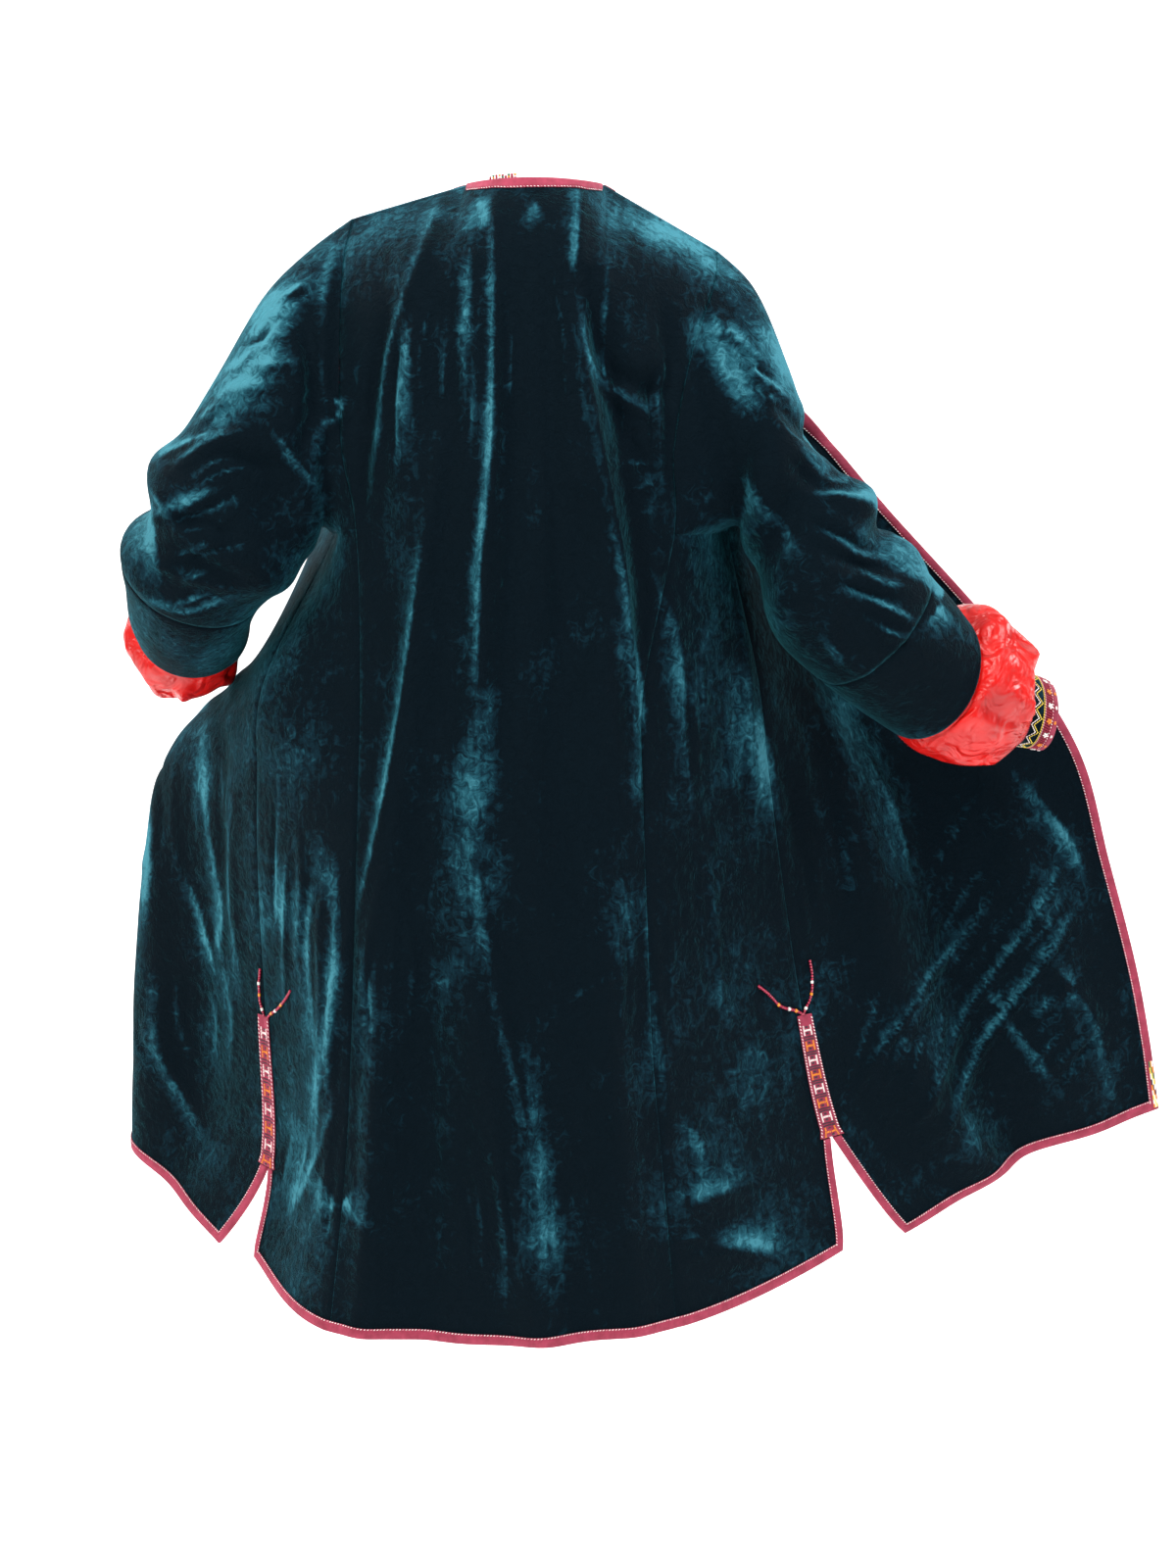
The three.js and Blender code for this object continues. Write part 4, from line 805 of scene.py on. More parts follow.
# ------------------------------------------------------------------ Gores and fronts
# The gores are wedges let in from the underarm to the hem, which give the skirt its sweep. The
# fronts hang from the shoulders; the right one is held out to the side and the left one forward.
GORE_COLUMNS, GORE_ROWS = 40, 200
GORE_WIDTH, GORE_LENGTH = 0.15, 0.78
GORE_TOP = 326  # millimetres down the back, just above the underarm
GORE_LEVEL_LENGTH = 0.14  # from the underarm down to the next level
GORE_AREAS = {"right": 0.135, "left": 0.110}  # square metres: wedges, narrow at the underarm
FRONT_COLUMNS, FRONT_ROWS = 84, 280
FRONT_WIDTH = 0.28
FRONT_FOLDS = {
    "right": [
        (4.6, 10.6, (0.74, 0.72, 0.66), 0.09, 14),
        (5.0, 10.6, (0.50, 0.50, 0.46), 0.10, -14),
        (5.2, 10.6, (0.30, 0.28, 0.24), 0.10, 12),
        (7.6, 10.6, (0.92, 0.72, 0.48), 0.08, 8),
    ],
    "left": [
        (5.6, 10.6, (0.78, 0.76, 0.72), 0.10, -16),
        (5.6, 10.6, (0.56, 0.56, 0.54), 0.10, 12),
        (6.0, 10.6, (0.34, 0.34, 0.32), 0.10, -14),
    ],
}


def round_the_half(half, at, level):
    """One curve from the middle of the back round to the front's edge: 1 at the seam, 2 at the side
    and 4 at the edge."""
    rows = []
    for index, centre in enumerate(LEVELS):
        lines = [placed(half, half[line][index]) for line in ("seam", "side", "mid", "edge")]
        rows.append(through([centre, *lines], at))
    return through(np.array(rows), level) * MM


def spread_slit(half, points, level, share, way):
    """Below its top the slit spreads: the front's edge goes one way and the gore's the other."""
    spread = np.maximum(0, level - SLIT_TOP) * share**2 * way * MM
    out, behind = half["slit_spread"]
    points[:, 0] += half["sign"] * out * spread
    points[:, 1] += behind * spread
    return points


def gore_flat(half):
    """A gore, 0 at the back panel's seam to 1 at the side."""
    return lambda across, level: spread_slit(
        half, round_the_half(half, 1 + across, level), level, across, -1)


def front_flat(half):
    """A front, 0 at its open edge to 1 at the side."""
    return lambda across, level: spread_slit(
        half, round_the_half(half, 4 - 2 * across, level), level, across, 1)


def gore_height(across, level):
    """The gore's two seams pull it in, the side seam down to where the slit opens."""
    side = seam_dip((1 - across) * GORE_WIDTH) * (level < SLIT_TOP)
    return (seam_dip(across * GORE_WIDTH) + side) * away_from_underarm(level)


def gore_free(across, level):
    """The gore's creases die out at its seams and at the underarm."""
    side = np.where(level < SLIT_TOP, clear_of((1 - across) * GORE_WIDTH), 1)
    return clear_of(across * GORE_WIDTH) * side * clear_of((level - UNDERARM) * GORE_LEVEL_LENGTH)


def front_free(across, level):
    """The front's creases die out at the side seam and at the shoulder."""
    side = np.where(level < SLIT_TOP, clear_of((1 - across) * FRONT_WIDTH), 1)
    return side * clear_of(level * FIRST_LEVEL_LENGTH)


gore_surfaces = {}
front_surfaces = {}
for name, half in HALVES.items():
    gore_surface = hang(gore_flat(half), half["sign"], gore_height, gore_free)
    gore = sew(
        f"velvet_gore_{name}", gore_surface, half["sign"], with_margins(GORE_COLUMNS, GORE_WIDTH),
        GORE_ROWS, (0.2, GORE_LENGTH), lambda u, v: (u, levels_down(GORE_TOP, v)),
    )
    finish_cloth(
        gore, velvet, satin, CLOTH, "velvet", f"back_gore_{name}",
        flat=(0.24, 0.80), area=GORE_AREAS[name], held="hung",
    )
    gore_surfaces[name] = gore_surface

    def front_height(across, level, folds=FRONT_FOLDS[name]):
        """The folds fade at both edges, and the side seam pulls the front in down to the slit."""
        side = seam_dip((1 - across) * FRONT_WIDTH) * (level < SLIT_TOP)
        fade = (1 - across**8) * (1 - np.abs(1 - across) ** 12)
        return fold_height(folds, across, level) * fade + side * away_from_underarm(level)

    front_surface = hang(front_flat(half), -half["sign"], front_height, front_free)
    front = sew(
        f"velvet_front_{name}", front_surface, -half["sign"],
        with_margins(FRONT_COLUMNS, FRONT_WIDTH, ends=(False, True)), FRONT_ROWS, (0.32, 1.1),
        lambda u, v: (u, levels_down(0, v)),
    )
    finish_cloth(
        front, velvet, satin, CLOTH, "velvet", f"front_{name}",
        flat=(0.40, 1.16), area=0.32, held="hung",
    )
    front_surfaces[name] = front_surface

# ------------------------------------------------------------------ Sleeves
# Straight tapering tubes sewn to the panel's edge, with no cap, and lengthened by a second piece
# across the forearm. The velvet bunches over the elbow and sags under the arm.
SLEEVE_COLUMNS = 124
STEP_LENGTH = 0.045  # metres of cloth from one ring to the next
PIECING_STEP = 6  # where the second piece is sewn on
LAST_STEP = 8
OWN_SHAPE_STEP = 3  # from here on the sleeve has its own rings, past the armhole's shape
# Each part of a sleeve: its name, first and last step, rows, cut in metres and how it is held.
SLEEVE_PARTS = [
    ("sleeve", 0, PIECING_STEP, 84, (0.46, 0.28), "gathered"),
    ("sleeve_end", PIECING_STEP, LAST_STEP, 26, (0.37, 0.095), "hung"),
]

# Rings from the armhole to the end: the ends of each ring's long axis, then half its other axis and
# how far its back lies towards the hand.
SLEEVES = {
    "right": [
        ((208, -6, -112), (190, 26, -318), 66, 0), ((240, 0, -180), (196, 32, -334), 68, 0),
        ((264, 8, -250), (204, 38, -354), 68, 0), ((300, 15, -290), (214, 42, -388), 66, 0),
        ((332, 20, -322), (236, 38, -434), 64, 0), ((372, 14, -367), (276, 20, -472), 61, 8),
        ((396, 4, -392), (312, 2, -501), 58, 16), ((416, -8, -416), (346, -14, -525), 56, 24),
    ],
    "left": [
        ((216, 4, -74), (200, 28, -320), 66, 0), ((256, 16, -110), (206, 32, -332), 70, 0),
        ((296, 26, -176), (212, 36, -348), 72, 0), ((330, 32, -232), (228, 38, -368), 72, 0),
        ((362, 28, -286), (248, 32, -384), 70, 0), ((386, 10, -340), (268, 10, -402), 66, 0),
        ((396, -24, -386), (282, -26, -424), 62, 0), ((397, -62, -414), (290, -66, -446), 56, 0),
    ],
}

# Bunches and sags round the sleeves: the place along and round (0 above, 0.25 behind, 0.5 below,
# 0.75 in front), their half sizes in the same measures, and height in millimetres.
SLEEVE_FOLDS = {
    "right": [
        (4.2, 0.0, 0.5, 0.16, 15), (4.9, 0.04, 0.34, 0.14, -14), (5.5, 0.98, 0.4, 0.16, 9),
        (3.1, 0.3, 0.6, 0.1, -14), (4.4, 0.36, 0.5, 0.09, 12), (2.0, 0.26, 1.0, 0.08, 10),
        (3.6, 0.6, 0.6, 0.12, -12),
    ],
    "left": [
        (4.6, 0.02, 0.4, 0.16, 14), (5.2, 0.0, 0.34, 0.16, -12), (5.8, 0.04, 0.4, 0.16, 10),
        (2.2, 0.2, 1.2, 0.08, 12), (3.2, 0.3, 0.8, 0.09, -14), (4.4, 0.38, 0.6, 0.1, 12),
        (3.4, 0.62, 0.8, 0.12, -10),
    ],
}


def rings_at(half, rings, step):
    """The rings' centres and axes at each step along the tube."""
    outer, inner = (placed(half, [ring[k] for ring in rings]) for k in (0, 1))
    sizes = np.array([(deep, lean, 0) for _, _, deep, lean in rings], dtype=float)
    middle = lambda at: (through(outer, at) + through(inner, at)) / 2
    last = len(rings) - 1
    onward = unit(middle(np.minimum(step + 0.1, last)) - middle(np.maximum(step - 0.1, 0)))
    centre = middle(step)
    long = through(outer, step) - centre
    size = through(sizes, step)
    deep = -half["sign"] * size[:, :1] * unit(np.cross(onward, long))
    return centre, long, deep + onward * size[:, 1:2]


def tube_flat(half, rings, step, turn):
    """The tube through the rings, in millimetres, without its folds."""
    centre, long, deep = rings_at(half, rings, step)
    angle = turn[:, None] * 2 * np.pi
    return centre + long * np.cos(angle) + deep * np.sin(angle)


def turns_apart(turn, other):
    """The shorter way round a tube between two turns."""
    gap = np.abs((turn - other) % 1)
    return np.minimum(gap, 1 - gap)


def tube_folds(folds, step, turn):
    """How far the bunches and sags lift a tube's cloth, in metres."""
    height = np.zeros(len(step))
    for ring, middle, along, around, depth in folds:
        gap = turns_apart(turn, middle)
        height += depth * np.exp(-(((step - ring) / along) ** 2) - (gap / around) ** 2)
    return height * MM


def walked_along(points):
    """How far it is to each point along a line of them, in metres."""
    return np.concatenate([[0], np.cumsum(np.linalg.norm(np.diff(points, axis=0), axis=1))])


def read_at(marks, walked, table):
    """A line's columns, read where it has run as far as the marks say."""
    return np.stack([np.interp(marks, walked, table[:, k]) for k in range(table.shape[1])], axis=1)


def armhole(half):
    """The closed line that the sleeve is sewn to: down the back panel, along the gore and up the
    front."""
    run = np.linspace(0, 1, 161)
    whole = np.ones(len(run))
    side = whole * half["sign"]
    back_edge = back_flat(side, run * UNDERARM)
    under = gore_flat(half)(run, whole * UNDERARM)
    front_edge = front_flat(half)(whole, (1 - run) * UNDERARM)
    line = np.concatenate([back_edge, under[1:], front_edge[1:]])
    walked = walked_along(line)
    return lambda turn: read_at(turn % 1, walked / walked[-1], line)


def sleeve_flat(half, name):
    """The whole sleeve as a surface of turn and step, 0 at the armhole: its rings ease from the
    armhole's shape to their own over the first few."""
    loop = armhole(half)
    rings = [SLEEVES[name][0], *SLEEVES[name]]
    loop_centre = loop(np.linspace(0, 1, 240, endpoint=False)).mean(axis=0)

    def surface(turn, step):
        rows = [loop(turn)]
        for row in range(1, LAST_STEP + 1):
            at = np.full(len(turn), float(row))
            own = tube_flat(half, rings, at, turn) * MM
            keep = max(0.0, 1 - row / OWN_SHAPE_STEP) ** 2 / 2
            shift = rings_at(half, rings, at)[0] * MM - loop_centre
            rows.append(own + (loop(turn) + shift - own) * keep)
        return through(np.array(rows), step)

    return surface


sleeve_surfaces = {}
for name, half in HALVES.items():

    def sleeve_height(turn, step, folds=SLEEVE_FOLDS[name]):
        """The folds begin past the armhole, and the piecing seam pulls the cloth in."""
        seam = seam_dip((step - PIECING_STEP) * STEP_LENGTH)
        return tube_folds(folds, step, turn) * np.clip(step, 0, 1) + seam

    sleeve_surface = hang(
        sleeve_flat(half, name), -half["sign"], sleeve_height,
        lambda turn, step: clear_of(step * STEP_LENGTH),
    )
    sleeve_surfaces[name] = sleeve_surface
    for part, start, stop, rows, cut, held in SLEEVE_PARTS:
        sleeve = sew(
            f"velvet_{part}_{name}", sleeve_surface, -half["sign"],
            np.linspace(0, 1, SLEEVE_COLUMNS + 1), rows, cut,
            lambda u, v, start=start, stop=stop: (u, start + v * (stop - start)), closed=True,
        )
        finish_cloth(
            sleeve, velvet, satin, CLOTH, "velvet", f"{part}_{name}", flat=cut, held=held,
        )

# ------------------------------------------------------------------ Satin at the cuffs
# Past the velvet the red satin lining shows: it is caught inside the sleeve, puffs out round the
# forearm in soft bunched folds, and is gathered on to the narrow cuff band.
SATIN_COLUMNS, SATIN_ROWS = 150, 46
SATIN = 1.4 * MM
# Rings, as for the sleeves: the puff of satin past the velvet's end, then the band.
SATIN_PUFFS = {
    "right": [
        ((444, -16, -408), (364, -22, -542), 60, 14), ((465, -26, -430), (406, -34, -556), 58, 8),
        ((477, -34, -447), (443, -44, -556), 50, 4),
    ],
    "left": [
        ((409, -80, -424), (300, -88, -456), 62, 0), ((404, -104, -440), (304, -110, -468), 60, 0),
        ((394, -122, -452), (310, -126, -474), 48, 0),
    ],
}
BANDS = {
    "right": [
        ((470, -36, -469), (459, -46, -544), 37, 0),
        ((508, -48, -487), (498, -58, -552), 33, 0),
    ],
    "left": [
        ((382, -124, -448), (316, -128, -468), 36, 0),
        ((376, -158, -464), (318, -162, -480), 32, 0),
    ],
}
BAND_CUTS = {"right": (0.235, 0.043), "left": (0.225, 0.038)}
BAND_COLUMNS, BAND_ROWS = 96, 14
SATIN_CUTS = {"right": (0.42, 0.12), "left": (0.40, 0.09)}
PUFF_LAST = 8  # the last of the puff's rows of places, on the band
GATHERS = 41
GATHER_HEIGHT = 0.9
# Folds of the satin: turn where each starts, how far it turns by the end, half breadth, height.
SATIN_FOLDS = [
    (0.03, 0.05, 0.020, 5.1), (0.10, -0.04, 0.016, 4.1), (0.17, 0.06, 0.024, 5.8),
    (0.25, 0.02, 0.015, -4.4), (0.31, -0.06, 0.021, 5.4), (0.39, 0.04, 0.017, 3.7),
    (0.46, -0.03, 0.024, 5.1), (0.54, 0.05, 0.019, -4.4), (0.61, -0.05, 0.022, 5.4),
    (0.69, 0.03, 0.016, 4.1), (0.76, -0.04, 0.024, 5.1), (0.84, 0.05, 0.018, -4.1),
    (0.91, -0.03, 0.021, 5.1),
]


def band_flat(half, name):
    """The wrist band: 0 at the satin to 1 at the wrist's edge."""
    return lambda turn, step: tube_flat(half, BANDS[name], step, turn) * MM


def satin_height(turn, step):
    """Folds are deepest in the middle of the puff, and the gathers finest at the band."""
    height = np.zeros(len(turn))
    middle = np.clip((step - 2) / 2.4, 0, 1) * np.clip((PUFF_LAST - step) / 1.2, 0, 1)
    for start, twist, width, depth in SATIN_FOLDS:
        gap = turns_apart(turn, start + twist * step / PUFF_LAST)
        height += depth * np.exp(-((gap / width) ** 2)) * middle
    full_turn = turn * 2 * np.pi
    gathers = np.sin(full_turn * GATHERS + 1.5 * np.sin(full_turn * 3))
    close = np.clip((step - 5.4) / 2.0, 0, 1) * np.clip((PUFF_LAST - step) / 0.5, 0, 1)
    return (height + gathers * GATHER_HEIGHT * close) * MM


for name, half in HALVES.items():
    facing = -half["sign"]
    velvet_end = sleeve_surfaces[name]
    wrist = band_flat(half, name)
    inside = CLOTH / 2 + SEAM_GAP + SATIN / 2

    # The puff's rows at even turns: caught in the sleeve, out over its edge, round, and on to the
    # band.
    turns = np.arange(720) / 720
    whole = np.ones(len(turns))
    inwards = normals_of(velvet_end, turns, whole * LAST_STEP, facing) * inside
    edge = velvet_end(turns, whole * LAST_STEP) - inwards
    caught = velvet_end(turns, whole * (LAST_STEP - 0.2)) - inwards
    puffs = [tube_flat(half, SATIN_PUFFS[name], whole * k, turns) * MM for k in (0, 0.5, 1, 1.5, 2)]
    on_band = wrist(turns, whole * 0.3) + normals_of(wrist, turns, whole * 0.3, facing) * inside
    puff_rows = np.array([caught, edge, edge + unit(edge - caught) * 4 * MM, *puffs, on_band])

    def satin_flat(turn, step, rows=puff_rows, count=len(turns)):
        """The puff without its folds, read between the even turns."""
        at = (turn % 1) * count
        first = np.floor(at).astype(int) % count
        share = (at - np.floor(at))[:, None]
        return through(rows[:, first] * (1 - share) + rows[:, (first + 1) % count] * share, step)

    def satin_surface(turn, step, with_nap_and_painted_light=False, facing=facing, satin_flat=satin_flat):
        out = normals_of(satin_flat, turn, step, facing)
        points = satin_flat(turn, step) + out * satin_height(turn, step)[:, None]
        return (points, np.zeros(len(turn))) if with_nap_and_painted_light else points

    puff = sew(
        f"satin_cuff_{name}", satin_surface, facing, np.linspace(0, 1, SATIN_COLUMNS + 1),
        SATIN_ROWS, (0.44, 0.14), lambda u, v: (u, v * PUFF_LAST), closed=True,
    )
    finish_cloth(
        puff, puffed_satin, satin, SATIN, "satin", f"cuff_satin_{name}",
        flat=SATIN_CUTS[name], held="gathered",
    )

    # The band itself: a straight strip of the same velvet round the wrist.
    band_surface = hang(wrist, facing, lambda turn, step: 0 * turn, lambda turn, step: 1)
    band = sew(
        f"velvet_band_{name}", band_surface, facing, np.linspace(0, 1, BAND_COLUMNS + 1), BAND_ROWS,
        (0.24, 0.04), lambda u, v: (u, v), closed=True,
    )
    finish_cloth(
        band, velvet, satin, CLOTH, "velvet", f"cuff_band_{name}",
        flat=BAND_CUTS[name], held="stretched",
    )

# ------------------------------------------------------------------ Binding tape
# Crimson woven cotton tape, folded over every free edge and held by a row of pale hand stitches
# along its inner side, on both faces.
TAPE = 1.0 * MM
TAPE_WIDTH = 8.0 * MM
TAPE_CUT = 0.020  # metres: the woven tape's whole width, before it is folded over the edge
TAPE_PITCH = 4.0 * MM  # between the rows of faces along it
TAPE_RED = "#7c1230"
TAPE_WORN = "#9a2c48"
TAPE_RIB_MM = 0.9
RIBS_A_WAVE = 20  # Blender's wave texture repeats this often in each unit of its scale
TAPE_WEAR_MM = 14
STITCH_PITCH = 3.1 * MM
SLIT_BOUND = 9.07  # the level below which the slit's edges stand apart
NECK_SHARE = 0.36  # the neck ends here across the back panel

# Thread colours, each a place along one scale that every stitch reads its own colour from.
THREADS = {
    "white": (0.05, "#efe6e2"), "pink": (0.20, "#e3a3ae"), "orange": (0.35, "#e58a1f"),
    "yellow": (0.50, "#e9cf4a"), "crimson": (0.65, "#a01c3c"), "violet": (0.80, "#1d0f22"),
    "green": (0.95, "#2f6a4a"),
}
HALF_A_TONE = 0.075  # half of one colour's stretch of that scale


def make_tape():
    """Plain-woven cotton: matt, with a fine rib across it, rubbed paler in patches."""
    tape = new_material("crimson_cotton_tape")
    cloth = add_node(tape, "ShaderNodeUVMap", {"uv_map": "UVMap"})
    place = add_node(tape, "ShaderNodeTexCoord")
    worn = add_node(tape, "ShaderNodeTexNoise", inputs={
        "Vector": place.outputs["Object"], "Scale": per_metre(TAPE_WEAR_MM), "Detail": 5.0,
        "Roughness": 0.65,
    })
    colour = add_node(tape, "ShaderNodeValToRGB", inputs={"Fac": worn.outputs["Fac"]})
    colour.color_ramp.elements[0].position = 0.38
    colour.color_ramp.elements[0].color = linear(TAPE_RED)
    colour.color_ramp.elements[1].position = 0.72
    colour.color_ramp.elements[1].color = linear(TAPE_WORN)
    rib = add_node(tape, "ShaderNodeTexWave", {"bands_direction": "Y"}, {
        "Vector": cloth.outputs["UV"], "Scale": per_metre(TAPE_RIB_MM) / RIBS_A_WAVE,
        "Distortion": 1.2,
    })
    bump = add_node(tape, "ShaderNodeBump", inputs={
        "Height": rib.outputs["Fac"], "Strength": 0.4, "Distance": 0.0004,
    })
    finish_material(tape, add_node(tape, "ShaderNodeBsdfPrincipled", inputs={
        "Base Color": colour.outputs["Color"], "Roughness": 0.75, "Sheen Weight": 0.1,
        "Sheen Tint": linear("#c9607a"), "Normal": bump.outputs["Normal"],
    }))
    return tape


def make_coloured(name, roughness, coat):
    """Coloured thread or glass, each small piece in the colour that its own tone picks."""
    material = new_material(name)
    tone = add_node(material, "ShaderNodeAttribute", {"attribute_name": "tone"})
    colour = add_node(material, "ShaderNodeValToRGB", inputs={"Fac": tone.outputs["Fac"]})
    ramp = colour.color_ramp
    ramp.interpolation = "CONSTANT"
    stops = list(THREADS.values())
    for _ in stops[2:]:
        ramp.elements.new(0.5)
    for element, (middle, hex_colour) in zip(ramp.elements, stops):
        element.position = max(middle - HALF_A_TONE, 0)
        element.color = linear(hex_colour)
    place = add_node(material, "ShaderNodeTexCoord")
    twist = add_node(material, "ShaderNodeTexNoise", inputs={
        "Vector": place.outputs["Object"], "Scale": per_metre(0.7), "Detail": 2.0,
    })
    bump = add_node(material, "ShaderNodeBump", inputs={
        "Height": twist.outputs["Fac"], "Strength": 0.3, "Distance": 0.0003,
    })
    finish_material(material, add_node(material, "ShaderNodeBsdfPrincipled", inputs={
        "Base Color": colour.outputs["Color"], "Roughness": roughness, "Coat Weight": coat,
        "Coat Roughness": 0.12, "Normal": bump.outputs["Normal"],
    }))
    return material


tape = make_tape()
thread = make_coloured("embroidery_thread", 0.58, 0.0)
glass = make_coloured("glass_beads", 0.22, 0.6)


def evenly(surface, start, stop, pitch, trim):
    """Places along an edge, from start to stop in across and level, pitch apart and trimmed at its
    ends."""
    start, stop = np.array(start, dtype=float), np.array(stop, dtype=float)
    run = np.linspace(0, 1, 500)
    ways = start + (stop - start) * run[:, None]
    walked = walked_along(surface(ways[:, 0], ways[:, 1]))
    count = max(2, int((walked[-1] - sum(trim)) / pitch))
    marks = np.linspace(trim[0], walked[-1] - trim[1], count)
    return start + (stop - start) * np.interp(marks, walked, run)[:, None]


def stations_at(surface, facing, ways, into):
    """The edge's points at ways, the points one tape width into the cloth, and the normals at
    both."""
    across, level = ways[:, 0], ways[:, 1]
    nudge = 0.01
    edge = surface(across, level)
    reach = []
    for step in ((nudge, 0), (0, -nudge)):
        shift = np.linalg.norm(surface(across + step[0], level + step[1]) - edge, axis=1)
        reach.append(TAPE_WIDTH / shift * nudge)
    in_across, in_level = across + into[0] * reach[0], level + into[1] * reach[1]
    return np.stack([
        edge, surface(in_across, in_level), normals_of(surface, across, level, facing),
        normals_of(surface, in_across, in_level, facing),
    ], axis=1)


def panel_stations(surface, facing, runs):
    """Stations along one panel: runs of (start, stop, into, trims), with a mitre where two runs
    meet."""
    rows = []
    for index, (start, stop, into, trim) in enumerate(runs):
        ways = evenly(surface, start, stop, TAPE_PITCH, trim)
        rows.append(stations_at(surface, facing, ways, into))
        if index < len(runs) - 1:
            other = runs[index + 1][2]
            corner = (into[0] + other[0], into[1] + other[1])
            rows.append(stations_at(surface, facing, np.array([stop], dtype=float), corner))
    return np.concatenate(rows)


# The tape's section: how far out from its inner side, in tape widths, and how high, in half folds.
TAPE_SECTION = [
    (0, 1), (0.5, 1.1), (1, 1), (1.09, 0.7), (1.13, 0), (1.09, -0.7), (1, -1), (0.5, -1.1), (0, -1),
]
TAPE_STITCH = (2.1 * MM, 0.8 * MM, 0.5 * MM)  # length, width and height


def bind(name, stations, facing, node, closed=False):
    """Folds tape over an edge along its stations, with the stitches that hold it."""
    edge, inner, edge_out, inner_out = (stations[:, k] for k in range(4))
    half_fold = CLOTH / 2 + SEAM_GAP + TAPE / 2
    grid = np.stack([
        inner + (edge - inner) * way
        + unit(inner_out + (edge_out - inner_out) * min(way, 1)) * high * half_fold
        for way, high in TAPE_SECTION
    ], axis=1)
    rows, columns = len(grid) - 1, len(TAPE_SECTION) - 1
    length = walked_along(edge)[-1]

    def folded(column, row, with_nap_and_painted_light):
        return grid[np.rint(row).astype(int), np.rint(column).astype(int)], np.zeros(len(row))

    piece = sew(
        name, folded, facing, np.linspace(0, 1, columns + 1), rows, (TAPE_CUT, length),
        lambda u, v: (u * columns, v * rows), closed=closed,
    )
    finish_cloth(
        piece, tape, tape, TAPE * 0.9, "tape", node,
        flat=(TAPE_CUT, round(length, 2)), held="stretched",
    )

    walked = walked_along(inner)
    marks = np.arange(2 * MM, walked[-1] - 2 * MM, STITCH_PITCH)
    spot = read_at(marks, walked, inner + (edge - inner) * 0.06)
    out = unit(read_at(marks, walked, inner_out))
    along = unit(np.gradient(read_at(marks, walked, inner), axis=0))
    slant = unit(along + unit(read_at(marks, walked, edge - inner)) * 0.55)
    faces = [spot + out * side * (half_fold + 0.55 * MM) for side in (1, -1)]
    tones = np.where(np.arange(len(marks)) % 5 == 3, THREADS["pink"][0], THREADS["white"][0])
    stitches(
        f"{name}_stitches", np.concatenate(faces), np.tile(slant, (2, 1)), np.tile(out, (2, 1)),
        TAPE_STITCH, np.tile(tones, 2), node,
    )


# One stitch: its corners as parts of its half length, width and height, and its faces.
STITCH_CORNERS = [
    (-1, 0, 0), (-0.62, 1, 0), (-0.62, 0, 1), (-0.62, -1, 0), (-0.62, 0, -1),
    (0.62, 1, 0), (0.62, 0, 1), (0.62, -1, 0), (0.62, 0, -1), (1, 0, 0),
]
STITCH_FACES = [
    (0, 2, 1), (0, 3, 2), (0, 4, 3), (0, 1, 4), (9, 5, 6), (9, 6, 7), (9, 7, 8), (9, 8, 5),
    (1, 2, 6, 5), (2, 3, 7, 6), (3, 4, 8, 7), (4, 1, 5, 8),
]


def stitches(
    name, centres, along, out, size, tones, node=None, material=thread,
):
    """Many small stitches or beads in one mesh: each is a rounded bar with twelve faces."""
    half_sizes = (np.broadcast_to(value, len(centres))[:, None] / 2 for value in size)
    ways = (along, unit(np.cross(out, along)), out)
    half_length, half_width, half_height = (way * half for way, half in zip(ways, half_sizes))
    corners = [
        centres + half_length * on + half_width * beside + half_height * up
        for on, beside, up in STITCH_CORNERS
    ]
    points = np.stack(corners, axis=1).reshape(-1, 3)
    count = len(STITCH_CORNERS)
    faces = [
        tuple(index * count + k for k in face)
        for index in range(len(centres)) for face in STITCH_FACES
    ]
    mesh = bpy.data.meshes.new(name)
    mesh.from_pydata(points, [], faces)
    tone = mesh.attributes.new("tone", "FLOAT", "POINT")
    tone.data.foreach_set("value", np.repeat(tones, count))
    piece = bpy.data.objects.new(name, mesh)
    bpy.context.collection.objects.link(piece)
    mesh.materials.append(material)
    bpy.ops.object.select_all(action="DESELECT")
    bpy.context.view_layer.objects.active = piece
    piece.select_set(True)
    bpy.ops.object.mode_set(mode="EDIT")
    bpy.ops.mesh.select_all(action="SELECT")
    bpy.ops.mesh.normals_make_consistent(inside=False)
    bpy.ops.object.mode_set(mode="OBJECT")
    bpy.ops.object.shade_smooth()
    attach(piece, "root")
    if node:
        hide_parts(node)


for name, half in HALVES.items():
    surface = front_surfaces[name]
    bind(f"tape_front_{name}", panel_stations(surface, -half["sign"], [
        ((0, 0), (0, HEM), (1, 0), (MM, TAPE_WIDTH)),
        ((0, HEM), (1, HEM), (0, -1), (TAPE_WIDTH, TAPE_WIDTH)),
        ((1, HEM), (1, SLIT_BOUND), (-1, 0), (TAPE_WIDTH, 0)),
    ]), half["sign"], f"front_binding_{name}")

slits = {
    name: panel_stations(gore_surfaces[name], HALVES[name]["sign"], [
        ((1, SLIT_BOUND), (1, HEM), (-1, 0), (0, TAPE_WIDTH)),
        ((1, HEM), (0, HEM), (0, -1), (TAPE_WIDTH, 2 * MM)),
    ]) for name in HALVES
}
back_hem = panel_stations(back_surface, 1, [((-1, HEM), (1, HEM), (0, -1), (2 * MM, 2 * MM))])
round_the_back = np.concatenate([slits["right"], back_hem, slits["left"][::-1]])
bind("tape_back", round_the_back, -1, "back_binding")

neck = panel_stations(back_surface, 1, [((-NECK_SHARE, 0), (NECK_SHARE, 0), (0, 1), (0, 0))])
bind("tape_neck", neck, 1, "neck_binding")

